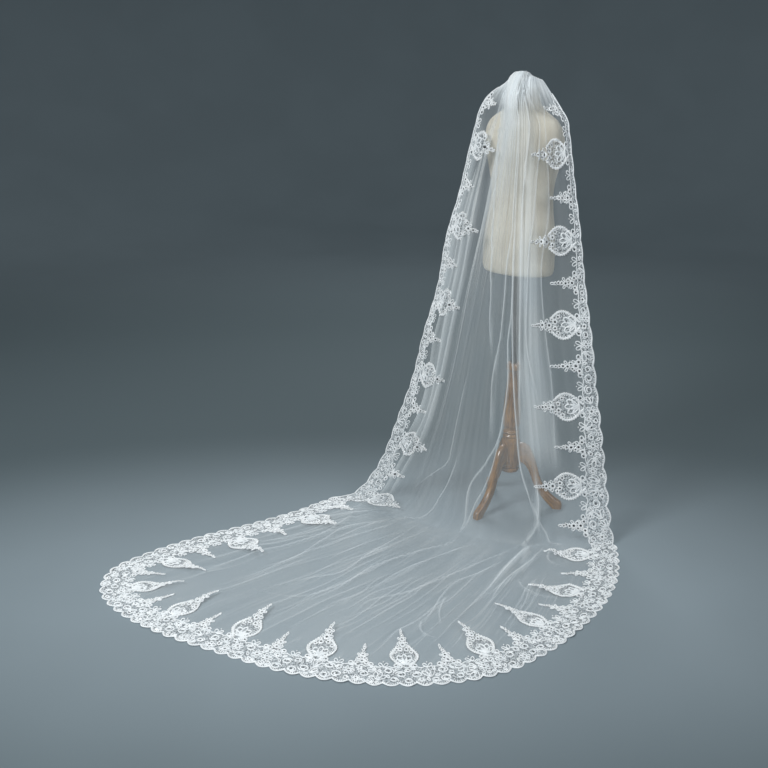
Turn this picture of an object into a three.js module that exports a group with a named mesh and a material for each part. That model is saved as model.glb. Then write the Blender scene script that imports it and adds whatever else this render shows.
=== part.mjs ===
// Cathedral bridal veil: one sheet of tulle gathered on a comb, edged all round with scalloped lace, hanging
// from the neck of a dress form and trailing on the floor. The form stands on a turned wooden tripod.
// Millimetres, +Z up. The form faces +Y and the train trails towards -Y. Shapes are worked out round the
// stand's axis, and the finished group is moved so that the origin is the centre of the base of its box.
import * as THREE from 'three';

// Driving dimensions
const gap = 0.3;               // clearance between pieces that touch
const tulleWall = 1.0;         // thickness of the net's wall
const laceWall = 1.2;          // thickness of the lace that lies on the net
const cut = { half: 750, strip: 270 };         // half the sheet's width, and the flat band the lace needs
const comb = { width: 62, bar: 7, thick: 1.8, tooth: 2.6, reach: 22, teeth: 10, y: 22 };
const neck = { radius: 49, capTop: 1575, capBottom: 1565 };
const repeat = { left: 12, train: 24, right: 11, plain: 75 };  // motifs on each stretch, and the bare top
const border = { top: 26, floor: 92, scallop: 9 };         // width of the lace at the top and on the floor
const motif = { long: 176, short: 104 };                   // how far a motif reaches in from the band
const pole = { radius: 12, bottom: 574, top: 917.7 };
const tripod = { legs: 3, turn: 31, reach: 205, width: 26, hub: 36 };

// Where the sheet goes. Each row is one lengthwise line of the net: its place across the flat sheet, then the
// points that it passes over the back of the neck, the nape and the shoulder, where it lands, and how much it
// flares there.
const guides = [
  { line: 'left edge', across: -750, crown: [-68, 2, 1574], nape: [-118, -42, 1531],
    shoulder: [-150, -68, 1462], landing: [-518, -439], flare: 0.34 },
  { line: 'left panel', across: -480, crown: [-41, -25, 1590], nape: [-24, -74, 1538],
    shoulder: [-14, -114, 1446], landing: [-325, -388], flare: 0.30 },
  { line: 'left folds', across: -300, crown: [-25, -28, 1598], nape: [-8, -82, 1540],
    shoulder: [14, -124, 1434], landing: [-235, -386], flare: 0.28 },
  { line: 'centre back', across: 0, crown: [0, -28, 1602], nape: [14, -87, 1541],
    shoulder: [46, -128, 1430], landing: [-20, -352], flare: 0.25 },
  { line: 'right folds', across: 300, crown: [26, -27, 1598], nape: [46, -81, 1540],
    shoulder: [82, -122, 1431], landing: [222, -268], flare: 0.25 },
  { line: 'right panel', across: 480, crown: [43, -24, 1590], nape: [72, -64, 1535],
    shoulder: [112, -98, 1434], landing: [312, -192], flare: 0.15 },
  { line: 'right edge', across: 750, crown: [64, 14, 1573], nape: [119, 19, 1506],
    shoulder: [177, 13, 1437], landing: [494, -3], flare: -0.02 },
];
const gathered = { halfWidth: 45, y: 18, z: 1577.6 };      // the gathered edge, just above the comb
const level = { crown: 0.03, nape: 0.065, shoulder: 0.13, below: 0.19 };   // shares of the fall there
const flarePower = 7;                                      // how late in the drop the flare sets in
const fillet = 0.9;                                        // share of the drop where the net levels out

// Pleats, side by side between the two lace panels: where each starts across the flat sheet, and how far it
// stands out at four heights. Each ends where the next starts.
const pleats = [
  { start: -480, comb: 3, shoulder: 6, middle: 24, floor: 12 },
  { start: -424, comb: 3, shoulder: 7, middle: 27, floor: 16 },
  { start: -364, comb: 3, shoulder: 7, middle: 24, floor: 13 },
  { start: -300, comb: 3, shoulder: 9, middle: 16, floor: 6 },
  { start: -208, comb: 3, shoulder: 10, middle: 14, floor: 9 },
  { start: -124, comb: 3, shoulder: 10, middle: 18, floor: 5 },
  { start: -40, comb: 3, shoulder: 9, middle: 21, floor: 10 },
  { start: 36, comb: 3, shoulder: 10, middle: 19, floor: 6 },
  { start: 112, comb: 3, shoulder: 9, middle: 22, floor: 11 },
  { start: 188, comb: 3, shoulder: 9, middle: 21, floor: 8 },
  { start: 256, comb: 3, shoulder: 8, middle: 26, floor: 14 },
  { start: 320, comb: 3, shoulder: 7, middle: 27, floor: 16 },
  { start: 376, comb: 3, shoulder: 7, middle: 26, floor: 12 },
  { start: 432, comb: 3, shoulder: 6, middle: 21, floor: 14 },
];
const pleatEnd = 480;
const pleatLevels = [0, level.shoulder, 0.5, 1];
const crest = 0.5;                                         // share of a pleat at which its crest stands
const seams = [-300, 256];                                 // troughs where one stretch of the sheet ends

// The train's hem on the floor, from the left landing round to the right one.
const hemPoints = [
  { x: -526, y: -626 }, { x: -562, y: -829 }, { x: -608, y: -1017 }, { x: -637, y: -1208 },
  { x: -621, y: -1375 }, { x: -528, y: -1470 }, { x: -404, y: -1502 }, { x: -204, y: -1488 },
  { x: 36, y: -1419 }, { x: 302, y: -1319 }, { x: 533, y: -1154 }, { x: 683, y: -946 },
  { x: 729, y: -717 }, { x: 704, y: -430 }, { x: 649, y: -247 }, { x: 582, y: -123 },
];

// The dress form: height of each section, half width, and depth to the front and to the back.
const formSections = [
  { z: 918, wide: 131, front: 80, back: 84 }, { z: 924, wide: 135, front: 84, back: 88 },
  { z: 975, wide: 142, front: 89, back: 97 }, { z: 1030, wide: 141, front: 89, back: 96 },
  { z: 1085, wide: 135, front: 88, back: 86 }, { z: 1140, wide: 126, front: 87, back: 75 },
  { z: 1200, wide: 121, front: 88, back: 68 }, { z: 1250, wide: 127, front: 95, back: 73 },
  { z: 1300, wide: 137, front: 116, back: 82 }, { z: 1345, wide: 147, front: 126, back: 89 },
  { z: 1385, wide: 152, front: 110, back: 90 }, { z: 1412, wide: 151, front: 88, back: 85 },
  { z: 1432, wide: 144, front: 70, back: 78 }, { z: 1448, wide: 132, front: 60, back: 72 },
  { z: 1464, wide: 108, front: 53, back: 66 }, { z: 1484, wide: 74, front: 50, back: 58 },
  { z: 1510, wide: 53, front: 48, back: 51 }, { z: 1564.7, wide: 49, front: 48, back: 49 },
];
const form = { around: 32, power: 2.1 };

// Turned wood: radius at each height.
const postTurning = [
  { r: 30, z: 280.3 }, { r: 32, z: 286 }, { r: 27, z: 294 }, { r: 32, z: 302 }, { r: 26, z: 309 },
  { r: 31, z: 330 }, { r: 33, z: 365 }, { r: 30, z: 410 }, { r: 24, z: 465 }, { r: 18, z: 520 },
  { r: 16, z: 540 }, { r: 26, z: 548 }, { r: 27, z: 560 }, { r: 20, z: 573.7 },
];
const hubTurning = [
  { r: 24, z: 139 }, { r: 34, z: 143 }, { r: 36, z: 153 }, { r: 31, z: 158 }, { r: 36, z: 163 },
  { r: 36, z: 262 }, { r: 30, z: 280 },
];
const turningSides = 20;

// Finishes
const finish = {
  tulle: new THREE.MeshStandardMaterial({ color: 0xf1f3f0, roughness: 0.8, transparent: true, opacity: 0.4 }),
  lace: new THREE.MeshStandardMaterial({ color: 0xfbfbf7, roughness: 0.6 }),
  comb: new THREE.MeshStandardMaterial({ color: 0xe4e6e6, roughness: 0.2 }),
  linen: new THREE.MeshStandardMaterial({ color: 0xe6dcc8, roughness: 0.9 }),
  wood: new THREE.MeshStandardMaterial({ color: 0x8a5a34, roughness: 0.4 }),
  steel: new THREE.MeshStandardMaterial({ color: 0x3a3a3c, roughness: 0.35, metalness: 0.8 }),
};

const { lerp, clamp, smoothstep } = THREE.MathUtils;

// Value at x of a smooth curve through rising keys.
function smoothThrough(keys, values, x) {
  const last = keys.length - 1;
  let i = 0;
  while (i < last - 1 && x > keys[i + 1]) i += 1;
  const rise = (j) => (values[j + 1] - values[j]) / (keys[j + 1] - keys[j]);
  const inside = (j) => (rise(j - 1) + rise(j)) / 2;
  const slope = (j) => (j === 0 ? rise(0) : j === last ? rise(last - 1) : inside(j));
  const span = keys[i + 1] - keys[i];
  const t = (x - keys[i]) / span;
  const u = 1 - t;
  return values[i] * (1 + 2 * t) * u * u + values[i + 1] * (3 - 2 * t) * t * t
    + span * (slope(i) * t * u * u - slope(i + 1) * t * t * u);
}

// Value at x on straight runs between rising keys.
function straightThrough(keys, values, x) {
  let i = 0;
  while (i < keys.length - 2 && x > keys[i + 1]) i += 1;
  return lerp(values[i], values[i + 1], clamp((x - keys[i]) / (keys[i + 1] - keys[i]), 0, 1));
}

const guideKeys = guides.map((g) => g.across);
const guided = (pick, across) => smoothThrough(guideKeys, guides.map(pick), across);
const guidedPoint = (pick, across) => [0, 1, 2].map((i) => guided((g) => pick(g)[i], across));

// A lengthwise line of the net below the shoulder. Drop goes from 0 at the shoulder to 1 on the floor.
function below(across, drop) {
  const [x, y, z] = guidedPoint((g) => g.shoulder, across);
  const flare = guided((g) => g.flare, across);
  const out = (1 - flare) * drop + flare * drop ** flarePower;
  const steep = 1 / (1 - fillet * fillet);
  const height = drop < fillet ? 1 - 2 * steep * (1 - fillet) * drop : steep * (1 - drop) ** 2;
  const landing = [0, 1].map((i) => guided((g) => g.landing[i], across));
  return [lerp(x, landing[0], out), lerp(y, landing[1], out), z * height];
}

// The sheet without its pleats. Fallen goes from 0 at the gathered edge to 1 where the net meets the floor.
function smoothSheet(across, fallen) {
  if (fallen >= level.shoulder) {
    return new THREE.Vector3(...below(across, (fallen - level.shoulder) / (1 - level.shoulder)));
  }
  const edge = [gathered.halfWidth * across / cut.half, gathered.y, gathered.z];
  const keys = [0, level.crown, level.nape, level.shoulder, level.below];
  const under = below(across, (level.below - level.shoulder) / (1 - level.shoulder));
  const over = ['crown', 'nape', 'shoulder'].map((name) => guidedPoint((g) => g[name], across));
  const points = [edge, ...over, under];
  const along = (i) => smoothThrough(keys, points.map((p) => p[i]), fallen);
  return new THREE.Vector3(...[0, 1, 2].map(along));
}

const probe = { across: 2, down: 0.004 };                  // small steps for reading which way the sheet runs

// Which way the sheet faces, away from the form and up from the floor.
function facing(across, fallen) {
  if (fallen >= 1) return new THREE.Vector3(0, 0, 1);
  const start = Math.min(fallen, 1 - probe.down);
  const down = smoothSheet(across, start + probe.down).sub(smoothSheet(across, start));
  const over = smoothSheet(across + probe.across, fallen).sub(smoothSheet(across - probe.across, fallen));
  return down.cross(over).normalize();
}

function pleatDepth(across, fallen) {
  if (across <= pleats[0].start || across >= pleatEnd) return 0;
  const i = pleats.findLastIndex((p) => across >= p.start);
  const pleat = pleats[i];
  const share = (across - pleat.start) / ((pleats[i + 1]?.start ?? pleatEnd) - pleat.start);
  const depths = [pleat.comb, pleat.shoulder, pleat.middle, pleat.floor];
  const height = straightThrough(pleatLevels, depths, fallen);
  return height * straightThrough([0, crest, 1], [0, 1, 0], share);
}

function drape(across, fallen) {
  return smoothSheet(across, fallen).addScaledVector(facing(across, fallen), pleatDepth(across, fallen));
}

const steepest = 0.55;                                     // limit on how far a wall stretches at sharp folds
const evenPlaces = (line) => line.map((_, i) => i / Math.max(line.length - 1, 1));

// A surface of points and triangles that is later given a wall.
class Surface {
  points = [];
  faces = [];
  fixed = new Map();

  // Adds a point, and if it lies on a seam the way that both walls grow there.
  add(point, growth) {
    const index = this.points.push(point) - 1;
    if (growth) this.fixed.set(index, growth);
    return index;
  }

  quad(a, b, c, d) {
    this.faces.push([a, b, c], [a, c, d]);
  }

  // Triangles between two lines of points that run the same way, with the place of each point along its line.
  zip(one, two, onePlaces = evenPlaces(one), twoPlaces = evenPlaces(two)) {
    let i = 0;
    let j = 0;
    while (i < one.length - 1 || j < two.length - 1) {
      const first = j === two.length - 1 || (i < one.length - 1 && onePlaces[i + 1] <= twoPlaces[j + 1]);
      const face = first ? [one[i], one[i + 1], two[j]] : [one[i], two[j + 1], two[j]];
      if (new Set(face).size === 3) this.faces.push(face);
      if (first) i += 1;
      else j += 1;
    }
  }

  // For each point, the way a wall of even thickness grows.
  growth() {
    const normals = this.points.map(() => new THREE.Vector3());
    const flats = this.faces.map(([a, b, c]) => {
      const [p, q, r] = [this.points[a], this.points[b], this.points[c]];
      return q.clone().sub(p).cross(r.clone().sub(p));
    });
    this.faces.forEach((face, i) => face.forEach((v) => normals[v].add(flats[i])));
    normals.forEach((n) => n.normalize());
    const lean = this.points.map(() => 1);
    this.faces.forEach((face, i) => face.forEach((v) => {
      lean[v] = Math.min(lean[v], normals[v].dot(flats[i].clone().normalize()));
    }));
    return normals.map((n, v) => this.fixed.get(v) ?? n.multiplyScalar(1 / Math.max(lean[v], steepest)));
  }

  // A closed wall from one height above the surface to another, over all faces or some of them.
  wall(low, high, faces = this.faces) {
    const growth = this.growth();
    const used = [...new Set(faces.flat())];
    const place = new Map(used.map((v, i) => [v, i]));
    const raised = (v, height) => this.points[v].clone().addScaledVector(growth[v], height).toArray();
    const at = (height) => used.flatMap((v) => raised(v, height));
    const count = used.length;
    const open = new Map();
    const index = [];
    for (const face of faces) {
      const [a, b, c] = face.map((v) => place.get(v));
      index.push(a + count, b + count, c + count, a, c, b);
      for (const [p, q] of [[a, b], [b, c], [c, a]]) {
        if (!open.delete(`${q},${p}`)) open.set(`${p},${q}`, [p, q]);
      }
    }
    for (const [p, q] of open.values()) index.push(p, q, q + count, p, q + count, p + count);
    return new THREE.BufferGeometry()
      .setAttribute('position', new THREE.Float32BufferAttribute([...at(low), ...at(high)], 3))
      .setIndex(index);
  }
}

// Lace lay-out. A stretch has one motif to each step, long and short in turn, and six stations to a step.
const stations = 6;
const bandRows = [0, 0.4, 0.68, 1];                        // rows across the band, as shares of its width
const motifShape = [                                       // rows of a motif: share of its reach, half width
  { reach: 0, long: 11, short: 9 }, { reach: 0.3, long: 41, short: 24 },
  { reach: 0.62, long: 27, short: 9 }, { reach: 1, long: 5, short: 4 },
];
const inner = bandRows.length - 1;

// Rows of one station: how far in from the hem, and how far along from the middle of its step.
function stationRows(station, isLong, step, bandWidth) {
  const fromMiddle = station - stations / 2;
  const plainAlong = fromMiddle * step / stations;
  const valley = station % (stations / 2) === 0 ? border.scallop : 0;
  const rows = bandRows.map((share) => ({ inward: lerp(valley, bandWidth, share), along: plainAlong }));
  const size = isLong ? 'long' : 'short';
  motifShape.slice(1).forEach(({ reach, [size]: half }) => {
    const along = Math.abs(fromMiddle) === 1 ? Math.sign(fromMiddle) * half : plainAlong;
    rows.push({ inward: bandWidth + reach * motif[size], along });
  });
  if (Math.abs(fromMiddle) === 1) rows[inner].along = Math.sign(fromMiddle) * motifShape[0][size];
  return rows;
}

// True if the cell between a station and the next, and a row and the next, is lace.
function isLace(station, row) {
  const eyelet = row === 1 && station % 3 === 1;
  const inMotif = station === stations / 2 - 1 || station === stations / 2;
  return row < inner ? !eyelet : inMotif;
}

// One stretch of the fall: lengthwise lines of points, as the band's rows near an edge need them, or plain.
const seamShift = 0.40;                                    // each stretch stops this far short of its seam
const seamGrowth = 1.3;                                    // walls stand this much taller along a seam
const bareRows = [0, 0.015, 0.03, 0.045];                  // lines of the side stretches above their lace
const plainRows = [
  0, 0.015, 0.03, 0.048, 0.07, 0.1, 0.13, 0.22, 0.36, 0.52, 0.68, 0.81, 0.89, 0.945, 1,
];

function fallColumns(from, to) {
  const ends = [...pleats.slice(1).map((p) => p.start), pleatEnd];
  const places = pleats.flatMap((p, i) => [p.start, lerp(p.start, ends[i], crest)]);
  return [...places, pleatEnd].filter((across) => across >= from && across <= to);
}

// Adds a lengthwise line of points, moved sideways to leave its share of a seam's clearance.
function addLine(surface, across, aside) {
  return plainRows.map((fallen) => {
    const point = drape(across, fallen).addScaledVector(alongCut(across, fallen), aside * seamShift);
    const onSeam = aside !== 0 || fallen === 1;
    point.z = Math.max(point.z, 0);
    return surface.add(point, onSeam ? facing(across, fallen).multiplyScalar(seamGrowth) : null);
  });
}

const edgeSamples = 240;

// Length of an edge from the gathered top down to each of many heights.
function edgeLengths(across) {
  const count = edgeSamples;
  const fallen = Array.from({ length: count + 1 }, (_, i) => i / count);
  const points = fallen.map((f) => smoothSheet(across, f));
  const lengths = [0];
  for (let i = 1; i <= count; i += 1) lengths.push(lengths[i - 1] + points[i].distanceTo(points[i - 1]));
  return { fallen, lengths, total: lengths[count] };
}

// Stations down one side edge, each a list of rows with a share of the fall and a place across.
function sideStations(side, steps) {
  const edge = edgeLengths(side * cut.half);
  const step = (edge.total - repeat.plain) / steps;
  const made = [];
  const add = (middle, station, isLong, lace) => {
    const share = clamp(middle / edge.total, 0, 1);
    const bandWidth = lerp(border.top, border.floor, share ** 1.5);
    const rows = stationRows(station, isLong, step, bandWidth).map(({ inward, along }) => ({
      across: side * (cut.half - inward),
      fallen: straightThrough(edge.lengths, edge.fallen, middle + along),
    }));
    rows.push({ across: side * (cut.half - cut.strip), fallen: rows[0].fallen });
    made.push({ rows, station, lace });
  };
  for (const fallen of bareRows) {
    add(step / 2, 0, false, false);
    made.at(-1).rows.forEach((row) => { row.fallen = fallen; });
  }
  for (let i = 0; i < steps; i += 1) {
    const middle = repeat.plain + (i + 0.5) * step;
    for (let s = 0; s < stations; s += 1) add(middle, s, i % 2 === 1, true);
  }
  add(edge.total - step / 2, stations, false, false);
  made.at(-1).rows.forEach((row) => { row.fallen = 1; });
  return made;
}

// A side stretch of the fall, and the faces of it that carry lace.
function sideFall(side, seam, steps) {
  const surface = new Surface();
  const laceFaces = [];
  const lines = sideStations(side, steps);
  const grid = lines.map(({ rows }) => rows.map(({ across, fallen }) => (
    surface.add(drape(across, fallen), fallen === 1 ? facing(across, 1) : null))));
  const turn = (a, b, c, d) => (side > 0 ? [a, d, c, b] : [a, b, c, d]);
  for (let k = 0; k < grid.length - 1; k += 1) {
    for (let j = 0; j < grid[k].length - 1; j += 1) {
      const before = surface.faces.length;
      surface.quad(...turn(grid[k][j], grid[k + 1][j], grid[k + 1][j + 1], grid[k][j + 1]));
      if (lines[k].lace && j < grid[k].length - 2 && isLace(lines[k].station, j)) {
        laceFaces.push(...surface.faces.slice(before));
      }
    }
  }
  const columns = side > 0 ? fallColumns(seam, pleatEnd).reverse() : fallColumns(pleats[0].start, seam);
  let previous = grid.map((rows) => rows.at(-1));
  let places = lines.map(({ rows }) => rows.at(-1).fallen);
  for (const across of columns.slice(1)) {
    const line = addLine(surface, across, across === seam ? side : 0);
    if (side > 0) surface.zip(line, previous, plainRows, places);
    else surface.zip(previous, line, places, plainRows);
    previous = line;
    places = plainRows;
  }
  return { surface, laceFaces };
}

// The way across the sheet, towards the right edge.
function alongCut(across, fallen) {
  return drape(across + probe.across, fallen).sub(drape(across - probe.across, fallen)).normalize();
}

// The stretch down the back, between the two seams.
function backFall() {
  const surface = new Surface();
  const lines = fallColumns(...seams).map((across) => (
    addLine(surface, across, across === seams[0] ? 1 : across === seams[1] ? -1 : 0)));
  for (let i = 0; i < lines.length - 1; i += 1) surface.zip(lines[i], lines[i + 1]);
  return surface;
}

// The train's hem as a curve on the floor.
function trainHem() {
  const landing = (g) => new THREE.Vector3(...g.landing, 0);
  const points = hemPoints.map(({ x, y }) => new THREE.Vector3(x, y, 0));
  const all = [landing(guides[0]), ...points, landing(guides.at(-1))];
  const curve = new THREE.CatmullRomCurve3(all, false, 'centripetal');
  curve.arcLengthDivisions = 600;
  return { curve, length: curve.getLength() };
}

const hem = trainHem();
const landingGap = new THREE.Vector3(0, -gap, 0);          // keeps the train clear of the stretches above it

const hemTurn = 850;                                       // length of hem in which a side's band turns
// How far the pleats run out on the floor, and which way they turn from the train's line at each side.
const runOut = { length: 420, rows: [0, 0.12, 0.3, 0.55, 1], leftTurn: 0, rightTurn: 0.5 };
const hemSmoothing = { length: 400, steps: 4 };            // hem that evens out the inward direction

// A point of the train's band: along the hem, and in from it. At each end the band turns into the side's.
function bandPoint(along, inward) {
  const share = clamp(along / hem.length, 0, 1);
  const point = hem.curve.getPointAt(share);
  const run = new THREE.Vector3();
  for (let i = -hemSmoothing.steps; i <= hemSmoothing.steps; i += 1) {
    const near = share + i * hemSmoothing.length / hemSmoothing.steps / hem.length;
    run.add(hem.curve.getTangentAt(clamp(near, 0, 1)));
  }
  const straight = new THREE.Vector3(-run.y, run.x, 0).normalize().multiplyScalar(inward).add(point);
  const left = share < 0.5;
  const side = left ? -1 : 1;
  const end = smoothSheet(side * (cut.half - inward), 1);
  const corner = end.add(point).sub(smoothSheet(side * cut.half, 1));
  return corner.lerp(straight, smoothstep(left ? along : hem.length - along, 0, hemTurn)).setZ(0);
}

// The train: net on the floor, from where the fall lands to the hem, with the pleats running out into it.
function train() {
  const surface = new Surface();
  const step = hem.length / repeat.train;
  const stationCount = repeat.train * stations;
  const ringCount = 44;
  const ringAt = (i) => bandPoint(hem.length * i / ringCount, cut.strip);
  const ring = Array.from({ length: ringCount + 1 }, (_, i) => ringAt(i));
  const hemLine = Array.from({ length: stationCount + 1 }, (_, i) => {
    const valley = i % (stations / 2) === 0 ? border.scallop : 0;
    return surface.add(bandPoint(i * step / stations, valley));
  });
  const ringLine = ring.map((p) => surface.add(p.clone()));
  surface.zip(hemLine.slice(1, -1), ringLine.slice(1, -1));
  // The two ends of the band, which meet the side stretches point for point.
  const endLine = (side, steps, hemEnd, ringEnd) => {
    const rows = sideStations(side, steps).at(-1).rows.slice(1, -1);
    return [hemEnd, ...rows.map(({ across }) => surface.add(smoothSheet(across, 1))), ringEnd];
  };
  surface.zip([hemLine[1], ringLine[1]], endLine(-1, repeat.left, hemLine[0], ringLine[0]));
  surface.zip(endLine(1, repeat.right, hemLine.at(-1), ringLine.at(-1)), [hemLine.at(-2), ringLine.at(-2)]);
  // Pleats run out into the train for a way, and the rest of it lies flat out to the band.
  const columns = fallColumns(pleats[0].start, pleatEnd);
  const ends = [ringLine[0], ringLine.at(-1)];
  const lines = columns.map((across, i) => {
    if (i === 0 || i === columns.length - 1) return [ends[i === 0 ? 0 : 1]];
    const share = i / (columns.length - 1);
    const away = lerp(runOut.leftTurn, runOut.rightTurn, share);
    const length = runOut.length * Math.sin(Math.PI * share) ** 0.5;
    const direction = new THREE.Vector3(Math.sin(away), -Math.cos(away), 0);
    const upright = facing(across, 1).multiplyScalar(seamGrowth);
    return runOut.rows.map((t) => {
      const point = smoothSheet(across, 1).addScaledVector(direction, t * length);
      return surface.add(point.setZ(pleatDepth(across, 1) * (1 - t) ** 2), t === 0 ? upright : null);
    });
  });
  for (let i = 0; i < lines.length - 1; i += 1) surface.zip(lines[i], lines[i + 1]);
  const outline = [...ringLine, ...lines.slice(1, -1).map((line) => line.at(-1)).reverse()];
  const flat = outline.map((v) => new THREE.Vector2(surface.points[v].x, surface.points[v].y));
  for (const face of THREE.ShapeUtils.triangulateShape(flat, [])) {
    const [a, b, c] = face.map((i) => flat[i]);
    const upward = b.clone().sub(a).cross(c.clone().sub(a)) > 0;
    const corners = face.map((i) => outline[i]);
    surface.faces.push(upward ? corners : corners.reverse());
  }
  surface.points.forEach((p) => p.add(landingGap));
  return surface;
}

// The lace on the train, flat on the net.
function trainLace() {
  const surface = new Surface();
  const step = hem.length / repeat.train;
  const lines = [];
  for (let i = 0; i < repeat.train; i += 1) {
    const middle = (i + 0.5) * step;
    const count = i === repeat.train - 1 ? stations + 1 : stations;
    for (let s = 0; s < count; s += 1) {
      const rows = stationRows(s, i % 2 === 1, step, border.floor);
      const line = rows.map(({ inward, along }) => surface.add(bandPoint(middle + along, inward)));
      lines.push({ line, station: s });
    }
  }
  for (let k = 0; k < lines.length - 1; k += 1) {
    const [one, two] = [lines[k].line, lines[k + 1].line];
    for (let j = 0; j < one.length - 1; j += 1) {
      if (isLace(lines[k].station, j)) surface.quad(one[j], two[j], two[j + 1], one[j + 1]);
    }
  }
  surface.points.forEach((p) => p.add(landingGap));
  return surface;
}

function combShape() {
  const half = comb.width / 2;
  const shape = new THREE.Shape().moveTo(-half, comb.y).lineTo(-half, comb.y - comb.bar);
  const pitch = (comb.width - comb.tooth) / (comb.teeth - 1);
  for (let i = 0; i < comb.teeth; i += 1) {
    const x = -half + i * pitch;
    const tip = comb.y - comb.bar - comb.reach;
    shape.lineTo(x, comb.y - comb.bar).lineTo(x + comb.tooth * 0.3, tip).lineTo(x + comb.tooth * 0.7, tip);
    shape.lineTo(x + comb.tooth, comb.y - comb.bar);
  }
  return shape.lineTo(half, comb.y).closePath();
}

// The padded torso, a loft through its sections with a flat base.
function torso() {
  const surface = { points: [], index: [] };
  const ring = ({ z, wide, front, back }) => Array.from({ length: form.around }, (_, i) => {
    const turn = i / form.around * 2 * Math.PI;
    const round = (v) => Math.sign(v) * Math.abs(v) ** (2 / form.power);
    const [c, s] = [round(Math.cos(turn)), round(Math.sin(turn))];
    return surface.points.push([wide * c, (s > 0 ? front : back) * s, z]) - 1;
  });
  const rings = formSections.map(ring);
  const tip = (section) => surface.points.push([0, 0, section.z]) - 1;
  const [bottom, top] = [tip(formSections[0]), tip(formSections.at(-1))];
  for (let i = 0; i < form.around; i += 1) {
    const j = (i + 1) % form.around;
    for (let k = 0; k < rings.length - 1; k += 1) {
      const [a, b, c, d] = [rings[k][i], rings[k][j], rings[k + 1][j], rings[k + 1][i]];
      surface.index.push(a, b, c, a, c, d);
    }
    surface.index.push(rings[0][j], rings[0][i], bottom, rings.at(-1)[i], rings.at(-1)[j], top);
  }
  return new THREE.BufferGeometry()
    .setAttribute('position', new THREE.Float32BufferAttribute(surface.points.flat(), 3))
    .setIndex(surface.index);
}

// A turned piece about the stand's axis.
function turned(profile) {
  const points = profile.map(({ r, z }) => new THREE.Vector2(r, z));
  const closed = [new THREE.Vector2(0, profile[0].z), ...points, new THREE.Vector2(0, profile.at(-1).z)];
  return new THREE.LatheGeometry(closed, turningSides).rotateX(Math.PI / 2);
}

// A curved leg in its own upright plane, from the hub out to its flat foot.
function leg() {
  const start = tripod.hub + gap;
  const shape = new THREE.Shape().moveTo(start, 258);
  shape.bezierCurveTo(start + 62, 262, start + 62, 150, start + 96, 92);
  shape.bezierCurveTo(start + 108, 72, start + 128, 50, tripod.reach - 12, 34);
  shape.quadraticCurveTo(tripod.reach + 6, 26, tripod.reach, 0);
  shape.lineTo(tripod.reach - 36, 0);
  shape.bezierCurveTo(start + 104, 26, start + 72, 62, start + 56, 100);
  shape.bezierCurveTo(start + 40, 136, start + 34, 174, start, 178);
  const body = { depth: tripod.width, bevelEnabled: false, curveSegments: 7 };
  const geometry = new THREE.ExtrudeGeometry(shape.closePath(), body);
  return geometry.translate(0, 0, -tripod.width / 2).rotateX(Math.PI / 2);
}

// Assembly
const veil = new THREE.Group();
const add = (name, geometry, material, parent = veil) => {
  const mesh = new THREE.Mesh(geometry, material);
  mesh.name = name;
  parent.add(mesh);
  return mesh;
};

const laceLow = tulleWall + gap;
const laceHigh = laceLow + laceWall;
for (const { name, side, seam, steps } of [
  { name: 'left', side: -1, seam: seams[0], steps: repeat.left },
  { name: 'right', side: 1, seam: seams[1], steps: repeat.right },
]) {
  const { surface, laceFaces } = sideFall(side, seam, steps);
  add(`tulle_${name}_fall`, surface.wall(0, tulleWall), finish.tulle);
  add(`lace_${name}_edge`, surface.wall(laceLow, laceHigh, laceFaces), finish.lace);
}
add('tulle_back_fall', backFall().wall(0, tulleWall), finish.tulle);
add('tulle_train', train().wall(0, tulleWall), finish.tulle);
add('lace_train_edge', trainLace().wall(laceLow, laceHigh), finish.lace);
const combBody = new THREE.ExtrudeGeometry(combShape(), { depth: comb.thick, bevelEnabled: false });
add('veil_comb', combBody, finish.comb).position.z = neck.capTop + gap;

const stand = new THREE.Group();
veil.add(stand);
add('form_torso', torso(), finish.linen, stand);
const round = (radius, bottom, top) => {
  const upright = new THREE.CylinderGeometry(radius, radius, top - bottom, turningSides * 2);
  return upright.rotateX(Math.PI / 2).translate(0, 0, (top + bottom) / 2);
};
add('form_neck_cap', round(neck.radius, neck.capBottom, neck.capTop), finish.wood, stand);
add('stand_pole', round(pole.radius, pole.bottom, pole.top), finish.steel, stand);
add('stand_post', turned(postTurning), finish.wood, stand);
add('stand_hub', turned(hubTurning), finish.wood, stand);
for (let i = 0; i < tripod.legs; i += 1) {
  const angle = tripod.turn + i * 360 / tripod.legs;
  add(`stand_leg_${i + 1}`, leg(), finish.wood, stand).rotation.z = THREE.MathUtils.degToRad(angle);
}

const box = new THREE.Box3().setFromObject(veil);
const centre = box.getCenter(new THREE.Vector3());
veil.position.set(-centre.x, -centre.y, -box.min.z);

export default veil;
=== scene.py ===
import math

import bpy
import numpy as np
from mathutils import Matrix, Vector
from mathutils.geometry import delaunay_2d_cdt
from mathutils.kdtree import KDTree


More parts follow.
